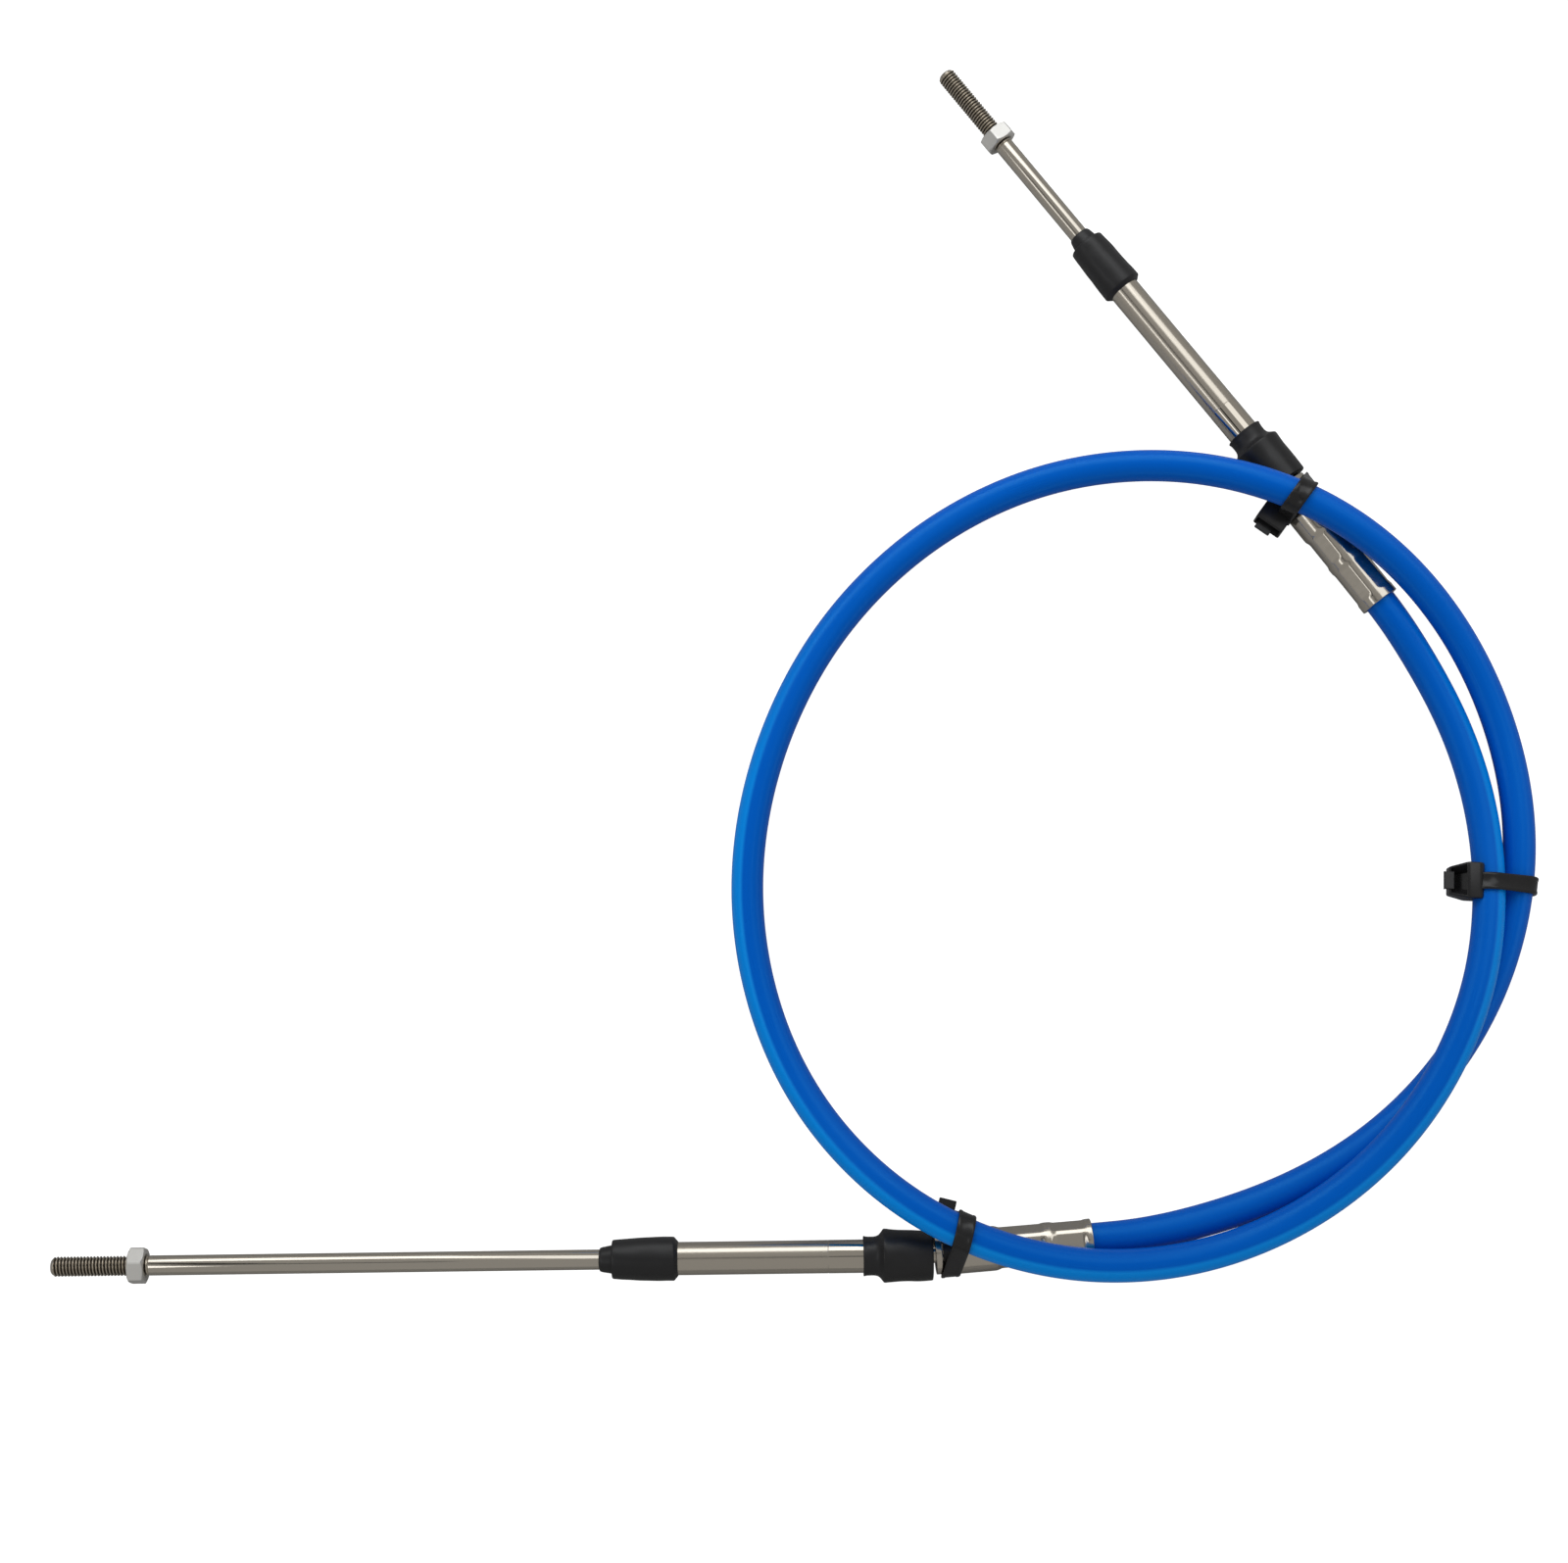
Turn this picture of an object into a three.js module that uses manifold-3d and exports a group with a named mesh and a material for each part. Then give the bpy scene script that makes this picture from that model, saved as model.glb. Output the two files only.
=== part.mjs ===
// Trim cable: a push-pull control cable lying flat in one and a half loops, with a sliding threaded
// rod at each end. Millimetres, +Z up. The origin is on the floor, below the middle of the cable.
import * as THREE from 'three';
import { mergeVertices } from 'three/addons/utils/BufferGeometryUtils.js';
import Module from 'manifold-3d';

const wasm = await Module();
wasm.setup();

const degrees = THREE.MathUtils.degToRad;

// Clearances
const fitGap = 0.3;
const floorGap = 0.05;
const mouthDepth = 6;

// Jacket
const jacketRadius = 4.95;
const jacketSides = 12;
const jacketSteps = 80;

// Rod, its travel and its thread
const rodRadius = 3;
const rodTravel = 70;
const rodSides = 16;
const threadPitch = 1;
const threadRootRadius = 2.4;
const tipChamfer = 0.8;

// Hexagon jam nut
const nutFlats = 10;
const nutThickness = 5;
const nutChamfer = 0.55;

// Sleeve tube and its belled inner end
const roundSides = 24;
const sleeveRadius = 4.95;
const bellWall = 1.35;
const bellReach = 2;

// Swivel ball on the hub's nose
const ballRadius = 4.4;
const neckRadius = 2.8;

// Swivel boot, places along the fitting from the swivel's middle, outward positive
const bootInnerEnd = -6.5;
const bootShoulder = 7.9;
const bootCollarEnd = 13.5;
const bootRadius = 8.2;
const bootEndRadius = 8.05;
const bootCollarRadius = 6.1;
const bootLip = 1.5;
const bootEdge = 0.5;
const bootThroatRadius = 4.2;
const bootCavityRadius = 6.4;

// Rod seal
const sealBody = 19;
const sealCollar = 3.7;
const sealInnerRadius = 6.7;
const sealOuterRadius = 5.9;
const sealCollarRadius = 4.2;
const sealCollarTipRadius = 3.85;
const sealEdge = 1.2;
const sealCap = 3;

// Hub, places along it from the swivel's middle, toward the jacket positive
const hubRingStart = 8.3;
const hubRingWidth = 1.7;
const hubRingRadius = 6.35;
const hubGrooveWidth = 4.4;
const hubGrooveRadius = 5.4;
const hubBodyRadius = 6.65;
const hubBodyEnd = 33;
const hubCrimpRadius = 5.75;
const hubCrimpStart = 37;
const hubCrimpStep = 41.5;
const hubCrimpStepRadius = 6;
const hubLength = 54.7;
const hubFlareRadius = 6.05;
const hubFlareNeckRadius = 5.7;
const hubFlareLength = 5;

// Cable ties
const tieWidth = 5.3;
const tieThickness = 1.2;
const tieHeadHigh = 8.2;
const tieTailWide = 4.6;
const tieTailThick = 1.4;
const strapSides = 20;
const strandSamples = 1600;
const strandReach = 15;

// Each tie: heading of what passes through it, side and height of its head, how far the head laps onto the
// strap, and how far the head and the tail sit along that heading from the strap's middle
const tieA = {
  name: 'tie_a',
  heading: -13.8,
  headSide: 1,
  headHeight: 8.5,
  headWide: 8.4,
  headDeep: 6,
  headInset: 2.3,
  headShift: -4.6,
  tailReach: 2.9,
  tailShift: -6,
};
const tieB = {
  name: 'tie_b',
  heading: -36,
  headSide: -1,
  headHeight: 8.5,
  headWide: 9.6,
  headDeep: 7.4,
  headInset: 1.6,
  headShift: -2.6,
  tailReach: 2.8,
  tailShift: -3.4,
};
const tieC = {
  name: 'tie_c',
  place: [216.4, -74.95],
  heading: 87.3,
  headSide: 1,
  headHeight: 12.4,
  headWide: 11.2,
  headDeep: 11.1,
  headInset: 3.2,
  headShift: 0,
  tailReach: 0.9,
  tailShift: 0,
};

// Loop: bearing in degrees from +X, distance from the loop's middle, height of the jacket's axis
const loopMiddle = [98.5, -63.95];
const route = [
  [-90, 117.35, 7.6],
  [-79, 114.85, 6.1],
  [-67, 114.1, 5.1],
  [-53, 115.1, 5.05],
  [-39, 117.0, 5.05],
  [-25, 119.2, 5.2],
  [-11, 121.2, 6.4],
  [3, 123.2, 6.5],
  [17, 125.0, 6.0],
  [31, 125.9, 9.0],
  [45, 125.2, 15.5],
  [59, 123.4, 20.9],
  [73, 122.5, 19.3],
  [87, 122.2, 12.8],
  [101, 120.9, 7.1],
  [115, 118.2, 5.1],
  [129, 115.6, 5.05],
  [143, 114.0, 5.05],
  [157, 113.5, 5.05],
  [171, 114.5, 5.05],
  [185, 116.8, 5.05],
  [199, 119.8, 5.3],
  [213, 123.2, 7.6],
  [227, 126.1, 13.8],
  [241, 127.7, 20.3],
  [255, 127.5, 19.9],
  [269, 126.2, 15.9],
  [283, 124.3, 12.6],
  [297, 121.9, 12.7],
  [311, 119.1, 14.7],
  [325, 116.2, 15.7],
  [339, 113.9, 14.7],
  [353, 112.3, 11.3],
  [367, 111.9, 7.3],
  [381, 112.05, 5.3],
  [393, 112.55, 6.2],
];

// Fittings: swivel's middle, headings of the rod and of the hub, lengths of sleeve, rod and thread that
// show, how far the rod is drawn out and its gap to the ball when it is in, nut's turn
const fittingA = {
  name: 'a',
  swivel: [31.5, -187.25],
  rodHeading: 180.74,
  hubHeading: 4.92,
  sleeveShown: 57.2,
  rodShown: 136.7,
  threadShown: 23.5,
  drawnOut: rodTravel,
  noseGap: 1.6,
  nutTurn: 9.8,
  tieAt: 14.6,
};
const fittingB = {
  name: 'b',
  swivel: [148.56, 59.07],
  rodHeading: 127.07,
  hubHeading: -53.5,
  sleeveShown: 62.4,
  rodShown: 40.2,
  threadShown: 25.8,
  drawnOut: 0,
  noseGap: 2.4,
  nutTurn: -21,
  tieAt: 13.0,
};

// Colours and finishes
const jacketBlue = { color: 0x0a50b0, roughness: 0.38, metalness: 0 };
const stainless = { color: 0xb9b4a8, roughness: 0.3, metalness: 1 };
const threadSteel = { color: 0x9c968a, roughness: 0.4, metalness: 1 };
const zincSteel = { color: 0xc2c2c0, roughness: 0.32, metalness: 1 };
const rubber = { color: 0x232325, roughness: 0.62, metalness: 0 };
const nylon = { color: 0x1d1d1f, roughness: 0.45, metalness: 0 };

function piece(name, geometry, finish) {
  const mesh = new THREE.Mesh(geometry, new THREE.MeshStandardMaterial(finish));
  mesh.name = name;
  return mesh;
}

// Turned solids: points are [place along +X, radius], outer side first, in rising places
function turned(points, sides) {
  const profile = points.map(([along, radius]) => new THREE.Vector2(radius, along));
  return new THREE.LatheGeometry(profile, sides).rotateZ(-Math.PI / 2);
}

function arcPoints(radius, from, to, count) {
  const points = [];
  for (let i = 0; i <= count; i += 1) {
    const along = THREE.MathUtils.lerp(from, to, i / count);
    points.push([along, Math.sqrt(Math.max(radius * radius - along * along, 0))]);
  }
  return points;
}

// Joins and cuts of closed meshes
function solidOf(geometry) {
  const bare = geometry.clone();
  bare.deleteAttribute('normal');
  bare.deleteAttribute('uv');
  const merged = mergeVertices(bare, 1e-4);
  return new wasm.Manifold(
    new wasm.Mesh({
      numProp: 3,
      vertProperties: new Float32Array(merged.attributes.position.array),
      triVerts: new Uint32Array(merged.index.array),
    }),
  );
}

function geometryOf(solid) {
  const mesh = solid.getMesh();
  const geometry = new THREE.BufferGeometry();
  geometry.setAttribute('position', new THREE.BufferAttribute(mesh.vertProperties, 3));
  geometry.setIndex(new THREE.BufferAttribute(mesh.triVerts, 1));
  geometry.computeVertexNormals();
  return geometry;
}

// Threaded rod, its places measured along the fitting from the swivel's middle
function rodGeometry(fitting) {
  const nutPlace = sealOuterEnd(fitting) + fitting.rodShown;
  const threadStart = nutPlace + nutThickness;
  const tip = threadStart + fitting.threadShown;
  const inner = ballRadius + fitting.noseGap + fitting.drawnOut;
  const points = [
    [inner, 0],
    [inner, rodRadius],
  ];
  const turns = Math.floor((fitting.threadShown - tipChamfer) / threadPitch);
  for (let turn = 0; turn < turns; turn += 1) {
    const crest = threadStart + turn * threadPitch;
    points.push([crest, rodRadius]);
    points.push([crest + threadPitch / 2, threadRootRadius]);
  }
  points.push([tip - tipChamfer, rodRadius]);
  points.push([tip, rodRadius - tipChamfer]);
  points.push([tip, 0]);
  return turned(points, rodSides);
}

function nutGeometry() {
  const corner = nutFlats / Math.sqrt(3);
  const prism = new THREE.CylinderGeometry(corner, corner, nutThickness, 6).rotateZ(-Math.PI / 2);
  const half = nutThickness / 2;
  const faceRadius = corner - nutChamfer / Math.tan(degrees(30));
  const barrel = turned(
    [
      [-half, 0],
      [-half, faceRadius + nutChamfer],
      [-half + nutChamfer, corner + fitGap],
      [half - nutChamfer, corner + fitGap],
      [half, faceRadius + nutChamfer],
      [half, 0],
    ],
    roundSides,
  );
  const bore = turned(
    [
      [-nutThickness, 0],
      [-nutThickness, rodRadius + fitGap],
      [nutThickness, rodRadius + fitGap],
      [nutThickness, 0],
    ],
    roundSides,
  );
  return geometryOf(solidOf(prism).intersect(solidOf(barrel)).subtract(solidOf(bore)));
}

// Rubber seal on the sleeve's outer end, which wipes the rod
function sealGeometry(fitting) {
  const inner = sealInnerEnd(fitting);
  const step = inner + sealBody;
  const outer = step + sealCollar;
  const seat = step - sealCap;
  const points = [
    [inner, sealInnerRadius - sealEdge],
    [inner + sealEdge, sealInnerRadius],
    [step - sealEdge, sealOuterRadius + sealEdge / 4],
    [step, sealOuterRadius - sealEdge / 4],
    [step, sealCollarRadius],
    [outer, sealCollarTipRadius],
    [outer, rodRadius + fitGap],
    [seat, rodRadius + fitGap],
    [seat, sleeveRadius + fitGap],
    [inner, sleeveRadius + fitGap],
    [inner, sealInnerRadius - sealEdge],
  ];
  return turned(points, roundSides);
}

// Sleeve tube, belled at its inner end to turn on the hub's ball
function sleeveGeometry(fitting) {
  const socket = ballRadius + fitGap;
  const bell = socket + bellWall;
  const bore = rodRadius + fitGap;
  const end = sealInnerEnd(fitting) + sealBody - sealCap - fitGap;
  const outside = arcPoints(bell, -bellReach, Math.sqrt(bell * bell - sleeveRadius * sleeveRadius), 5);
  const inside = arcPoints(socket, Math.sqrt(socket * socket - bore * bore), -bellReach, 5);
  const points = [...outside, [end, sleeveRadius], [end, bore], ...inside, outside[0]];
  return turned(points, roundSides);
}

// Rubber boot over the swivel, its collar on the sleeve and its wide end toward the hub
function bootGeometry() {
  const bore = sleeveRadius + fitGap;
  const points = [
    [bootInnerEnd, bootEndRadius - bootEdge],
    [bootInnerEnd + bootEdge, bootEndRadius],
    [bootShoulder - bootEdge, bootRadius],
    [bootShoulder, bootRadius - bootEdge],
    [bootShoulder, bootCollarRadius],
    [bootCollarEnd, bootCollarRadius],
    [bootCollarEnd, bore],
    [bootShoulder, bore],
    [bootShoulder - bootLip, bootCavityRadius],
    [bootInnerEnd + bootLip, bootCavityRadius],
    [bootInnerEnd + bootLip, bootThroatRadius],
    [bootInnerEnd, bootThroatRadius],
    [bootInnerEnd, bootEndRadius - bootEdge],
  ];
  return turned(points, roundSides);
}

// Crimped hub: ball nose, clamping groove, body and the flared mouth that holds the jacket
function hubGeometry() {
  const neckPlace = -Math.sqrt(ballRadius * ballRadius - neckRadius * neckRadius);
  const ball = arcPoints(ballRadius, -ballRadius, -neckPlace, 8);
  const ringEnd = hubRingStart + hubRingWidth;
  const grooveEnd = ringEnd + hubGrooveWidth;
  const mouthRadius = jacketRadius + fitGap;
  const points = [
    ...ball,
    [hubRingStart, neckRadius],
    [hubRingStart, hubRingRadius],
    [ringEnd, hubRingRadius],
    [ringEnd, hubGrooveRadius],
    [grooveEnd, hubGrooveRadius],
    [grooveEnd, hubBodyRadius],
    [hubBodyEnd, hubBodyRadius],
    [hubCrimpStart, hubCrimpRadius],
    [hubCrimpStep, hubCrimpStepRadius],
    [hubLength - hubFlareLength, hubFlareNeckRadius],
    [hubLength, hubFlareRadius],
    [hubLength, mouthRadius],
    [hubLength - mouthDepth, mouthRadius],
    [hubLength - mouthDepth, 0],
  ];
  return turned(points, roundSides);
}

// Places along a fitting
function sealInnerEnd(fitting) {
  return bootCollarEnd + fitting.sleeveShown;
}

function sealOuterEnd(fitting) {
  return sealInnerEnd(fitting) + sealBody + sealCollar;
}

function nutMiddle(fitting) {
  return sealOuterEnd(fitting) + fitting.rodShown + nutThickness / 2;
}

// The fitting lies on the boot's shoulder and on the nut, so it dips a little toward the nut
function dipOf(fitting) {
  const corner = nutFlats / Math.sqrt(3);
  const nutDrop = corner * Math.cos(degrees(fitting.nutTurn));
  return Math.asin((bootRadius - nutDrop) / (nutMiddle(fitting) - bootShoulder));
}

function swivelHeight(fitting) {
  return floorGap + bootRadius + bootShoulder * Math.sin(dipOf(fitting));
}

function swivelPlace(fitting) {
  return new THREE.Vector3(fitting.swivel[0], fitting.swivel[1], swivelHeight(fitting));
}

function rodSide(fitting) {
  const group = new THREE.Group();
  group.position.copy(swivelPlace(fitting));
  group.rotation.set(0, dipOf(fitting), degrees(fitting.rodHeading), 'ZYX');
  const nut = piece(`nut_${fitting.name}`, nutGeometry(), zincSteel);
  nut.position.x = nutMiddle(fitting);
  nut.rotation.x = degrees(fitting.nutTurn);
  group.add(
    piece(`boot_${fitting.name}`, bootGeometry(), rubber),
    piece(`sleeve_${fitting.name}`, sleeveGeometry(fitting), stainless),
    piece(`rod_seal_${fitting.name}`, sealGeometry(fitting), rubber),
    piece(`rod_${fitting.name}`, rodGeometry(fitting), threadSteel),
    nut,
  );
  return group;
}

function hubSide(fitting) {
  const hub = piece(`hub_${fitting.name}`, hubGeometry(), stainless);
  hub.position.copy(swivelPlace(fitting));
  hub.rotation.z = degrees(fitting.hubHeading);
  return hub;
}

function hubDirection(fitting) {
  return directionOf(fitting.hubHeading);
}

function alongHub(fitting, distance) {
  return swivelPlace(fitting).addScaledVector(hubDirection(fitting), distance);
}

// Jacket
function jacketPoints() {
  const inMouth = hubLength - mouthDepth + fitGap;
  const points = route.map(([bearing, distance, height]) => {
    const angle = degrees(bearing);
    return new THREE.Vector3(
      loopMiddle[0] + distance * Math.cos(angle),
      loopMiddle[1] + distance * Math.sin(angle),
      height,
    );
  });
  return [
    alongHub(fittingA, inMouth),
    alongHub(fittingA, hubLength + 1),
    ...points,
    alongHub(fittingB, hubLength + 1),
    alongHub(fittingB, inMouth),
  ];
}

function jacketCurve() {
  return new THREE.CatmullRomCurve3(jacketPoints(), false, 'centripetal');
}

function jacketGeometry(curve) {
  const section = new THREE.Shape();
  for (let side = 0; side < jacketSides; side += 1) {
    const angle = (2 * Math.PI * side) / jacketSides;
    const point = [jacketRadius * Math.cos(angle), jacketRadius * Math.sin(angle)];
    if (side === 0) section.moveTo(...point);
    else section.lineTo(...point);
  }
  section.closePath();
  return new THREE.ExtrudeGeometry(section, {
    steps: jacketSteps,
    bevelEnabled: false,
    extrudePath: curve,
  });
}

// A strand's place where it passes through a tie, and how far it drifts across and rises on the way
function strandAt(place, direction, centre, across, through) {
  const offset = place.clone().sub(centre);
  const headway = direction.dot(through);
  const drift = direction.dot(across) / headway;
  const rise = direction.z / headway;
  return { across: offset.dot(across), up: place.z, drift, rise };
}

function jacketStrands(curve, centre, across, through) {
  const samples = curve.getSpacedPoints(strandSamples);
  const strands = [];
  for (let i = 1; i < samples.length; i += 1) {
    const before = samples[i - 1].clone().sub(centre);
    const after = samples[i].clone().sub(centre);
    const near = Math.hypot(after.x, after.y) < strandReach;
    if (near && before.dot(through) * after.dot(through) <= 0) {
      const direction = samples[i].clone().sub(samples[i - 1]).normalize();
      strands.push({ ...strandAt(samples[i], direction, centre, across, through), radius: jacketRadius });
    }
  }
  return strands;
}

function convexHull(points) {
  const sorted = [...points].sort((a, b) => a[0] - b[0] || a[1] - b[1]);
  const turn = (o, a, b) => (a[0] - o[0]) * (b[1] - o[1]) - (a[1] - o[1]) * (b[0] - o[0]);
  const half = (list) => {
    const chain = [];
    for (const point of list) {
      while (chain.length > 1 && turn(chain.at(-2), chain.at(-1), point) <= 1e-6) chain.pop();
      chain.push(point);
    }
    chain.pop();
    return chain;
  };
  return [...half(sorted), ...half(sorted.reverse())];
}

// Outline around the strands at a distance from them, between two places along what passes through
function strapOutline(strands, distance, from, to) {
  const points = [];
  for (const strand of strands) {
    const radius = (strand.radius + distance) / Math.cos(Math.PI / strapSides);
    for (const end of [from, to]) {
      const across = strand.across + end * strand.drift;
      const up = strand.up + end * strand.rise;
      for (let side = 0; side < strapSides; side += 1) {
        const angle = (2 * Math.PI * side) / strapSides;
        points.push([across + radius * Math.cos(angle), up + radius * Math.sin(angle)]);
      }
    }
  }
  return convexHull(points);
}

// How far the outline reaches to one side at a height
function outlineEdge(outline, side, height) {
  const reaches = outline.map(([x, y], i) => {
    const [nextX, nextY] = outline[(i + 1) % outline.length];
    if ((y - height) * (nextY - height) > 0 || y === nextY) return -Infinity;
    return side * THREE.MathUtils.lerp(x, nextX, (height - y) / (nextY - y));
  });
  return side * Math.max(...reaches);
}

function extruded(outline, hole, depth) {
  const shape = new THREE.Shape(outline.map(([x, y]) => new THREE.Vector2(x, y)));
  if (hole) shape.holes.push(new THREE.Path(hole.map(([x, y]) => new THREE.Vector2(x, y))));
  const geometry = new THREE.ExtrudeGeometry(shape, { depth, bevelEnabled: false });
  return geometry.translate(0, 0, -depth / 2);
}

// Cable tie: the strap in local X (across) and Y (up), its width along local Z, head on one side
function tieGeometry(strands, style) {
  const inner = strapOutline(strands, fitGap, -tieWidth / 2, tieWidth / 2);
  const outer = strapOutline(strands, fitGap + tieThickness, -tieWidth / 2, tieWidth / 2);
  const { headSide, headHeight, headWide, headDeep, headShift, tailReach, tailShift } = style;
  const edge = outlineEdge(outer, headSide, headHeight) - headSide * style.headInset;
  const head = new THREE.BoxGeometry(headDeep, tieHeadHigh, headWide);
  head.translate(edge + headSide * (headDeep / 2 - tieThickness / 2), headHeight, headShift);
  const tail = new THREE.BoxGeometry(tailReach, tieTailThick, tieTailWide);
  const tailPlace = edge + headSide * (headDeep + tailReach / 2 - tieThickness);
  tail.translate(tailPlace, headHeight, tailShift);
  const strap = solidOf(extruded(outer, inner, tieWidth));
  const clear = strapOutline(strands, fitGap, headShift - headWide / 2, headShift + headWide / 2);
  const hollow = solidOf(extruded(clear, null, headWide * 3));
  return geometryOf(strap.add(solidOf(head).subtract(hollow)).add(solidOf(tail)));
}

// A tie around the jacket's strands at its centre, and around a hub where it holds one
function tie(style, centre, curve, fitting) {
  const through = directionOf(style.heading);
  const up = new THREE.Vector3(0, 0, 1);
  const across = up.clone().cross(through);
  const strands = jacketStrands(curve, centre, across, through);
  if (fitting) {
    const place = alongHub(fitting, fitting.tieAt);
    const hub = strandAt(place, hubDirection(fitting), centre, across, through);
    strands.push({ ...hub, radius: hubBodyRadius });
  }
  const mesh = piece(style.name, tieGeometry(strands, style), nylon);
  const basis = new THREE.Matrix4().makeBasis(across, up, through);
  mesh.quaternion.setFromRotationMatrix(basis);
  mesh.position.copy(centre);
  return mesh;
}

function directionOf(heading) {
  return new THREE.Vector3(Math.cos(degrees(heading)), Math.sin(degrees(heading)), 0);
}

function hubTie(style, fitting, curve) {
  return tie(style, alongHub(fitting, fitting.tieAt).setZ(0), curve, fitting);
}

function loopTie(style, curve) {
  return tie(style, new THREE.Vector3(...style.place, 0), curve, null);
}

const curve = jacketCurve();
const cable = new THREE.Group();
cable.add(
  piece('jacket', jacketGeometry(curve), jacketBlue),
  hubSide(fittingA),
  hubSide(fittingB),
  rodSide(fittingA),
  rodSide(fittingB),
  hubTie(tieA, fittingA, curve),
  hubTie(tieB, fittingB, curve),
  loopTie(tieC, curve),
);

export default cable;
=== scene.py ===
"""Trim cable: the finish of a coiled push-pull control cable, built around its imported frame.

Every piece is made in millimetres in its own straight frame and placed in metres. Along a fitting the
places run from the middle of its swivel: outward to the thread tip, or inward along the hub.
"""

from __future__ import annotations

import logging
import math
from dataclasses import dataclass, field
from enum import Enum
from typing import Callable, Sequence

import bmesh
import bpy
import numpy as np
from mathutils import Matrix, Vector, noise

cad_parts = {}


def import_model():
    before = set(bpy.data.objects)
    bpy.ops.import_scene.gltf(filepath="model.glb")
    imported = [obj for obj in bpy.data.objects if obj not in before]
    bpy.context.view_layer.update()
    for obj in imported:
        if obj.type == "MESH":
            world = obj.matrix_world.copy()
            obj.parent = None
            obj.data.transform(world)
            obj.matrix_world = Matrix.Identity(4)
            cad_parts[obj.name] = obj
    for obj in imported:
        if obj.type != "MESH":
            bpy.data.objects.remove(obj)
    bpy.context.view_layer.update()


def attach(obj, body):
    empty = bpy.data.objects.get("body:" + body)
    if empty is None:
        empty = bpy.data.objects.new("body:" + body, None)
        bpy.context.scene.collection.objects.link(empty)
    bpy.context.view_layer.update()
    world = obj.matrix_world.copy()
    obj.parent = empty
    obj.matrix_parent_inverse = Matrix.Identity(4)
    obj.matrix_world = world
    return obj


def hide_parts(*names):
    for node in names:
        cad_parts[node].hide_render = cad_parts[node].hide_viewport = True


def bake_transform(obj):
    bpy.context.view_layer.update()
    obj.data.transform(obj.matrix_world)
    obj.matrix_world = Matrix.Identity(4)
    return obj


MM = 0.001
LOG = logging.getLogger("trim_cable")

Profile = list[tuple[float, float]]
Shape = Callable[[float, float], float]


class End(Enum):
    """The two ends of the cable."""

    A = "a"
    B = "b"


class Body(Enum):
    """The moving bodies of the frame, as one end's names begin."""

    CABLE = "cable"
    SWIVEL = "swivel_"
    SLEEVE = "sleeve_end_"
    ROD = "rod_end_"

    def of(self, end: End) -> str:
        """Name of this body at one end of the cable."""
        return self.value + end.value


# Sizes, in millimetres, as the frame has them


@dataclass(frozen=True)
class Sizes:
    """Sizes that more than one piece is made from."""

    jacket: float = 4.95
    rod: float = 3.0
    sleeve: float = 4.95
    seat_gap: float = 0.06
    boot_inner_end: float = -6.5
    boot_shoulder: float = 7.9
    boot_collar_end: float = 13.5
    seal_body: float = 19.0
    seal_collar: float = 3.7
    nut_thickness: float = 5.0
    nut_flats: float = 10.0
    thread_pitch: float = 1.0
    floor_gap: float = 0.05
    boot_radius: float = 8.2
    hub_ring_start: float = 7.35
    hub_ring_end: float = 9.3
    hub_groove_end: float = 14.4
    hub_body: float = 6.65
    hub_length: float = 54.7
    mouth_depth: float = 6.0
    tie_width: float = 5.3
    tie_thickness: float = 1.2


SIZES = Sizes()


@dataclass(frozen=True)
class Fitting:
    """One end of the cable: where its swivel is, which way it points and how far things are drawn out."""

    end: End
    swivel: tuple[float, float]
    rod_heading: float
    hub_heading: float
    sleeve_shown: float
    rod_shown: float
    rod_inside: float
    thread_shown: float
    nut_turn: float
    tie_at: float
    ridge_at: float
    crimp_turn: float
    crimp_flat: float
    crimp_corner: float
    flare_at: float
    seed: int

    def dip(self) -> float:
        """Angle by which the fitting, lying on its boot and its nut, dips toward the nut."""
        corner = SIZES.nut_flats / math.sqrt(3.0) * math.cos(math.radians(self.nut_turn))
        run = self.nut_start() + SIZES.nut_thickness / 2.0 - SIZES.boot_shoulder
        return math.asin((SIZES.boot_radius - corner) / run)

    def swivel_place(self) -> Vector:
        """Middle of the swivel in millimetres."""
        height = SIZES.floor_gap + SIZES.boot_radius + SIZES.boot_shoulder * math.sin(self.dip())
        return Vector((*self.swivel, height))

    def rod_matrix(self) -> Matrix:
        """Placement of the rod side, +X outward, in metres."""
        place = Matrix.Translation(self.swivel_place() * MM)
        heading = Matrix.Rotation(math.radians(self.rod_heading), 4, "Z")
        dip = Matrix.Rotation(self.dip(), 4, "Y")
        return place @ heading @ dip @ Matrix.Scale(MM, 4)

    def hub_matrix(self) -> Matrix:
        """Placement of the hub, +X toward the jacket, in metres."""
        place = Matrix.Translation(self.swivel_place() * MM)
        heading = Matrix.Rotation(math.radians(self.hub_heading), 4, "Z")
        return place @ heading @ Matrix.Scale(MM, 4)

    def hub_direction(self) -> Vector:
        """Level direction of the hub, toward the jacket."""
        angle = math.radians(self.hub_heading)
        return Vector((math.cos(angle), math.sin(angle), 0.0))

    def along_hub(self, distance: float) -> Vector:
        """Place on the hub's axis in millimetres."""
        return self.swivel_place() + self.hub_direction() * distance

    def seal_inner(self) -> float:
        """Where the rod seal begins along the fitting."""
        return SIZES.boot_collar_end + self.sleeve_shown

    def seal_outer(self) -> float:
        """Where the rod seal ends and the bare rod begins."""
        return self.seal_inner() + SIZES.seal_body + SIZES.seal_collar

    def nut_start(self) -> float:
        """Where the nut begins along the fitting."""
        return self.seal_outer() + self.rod_shown


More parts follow.
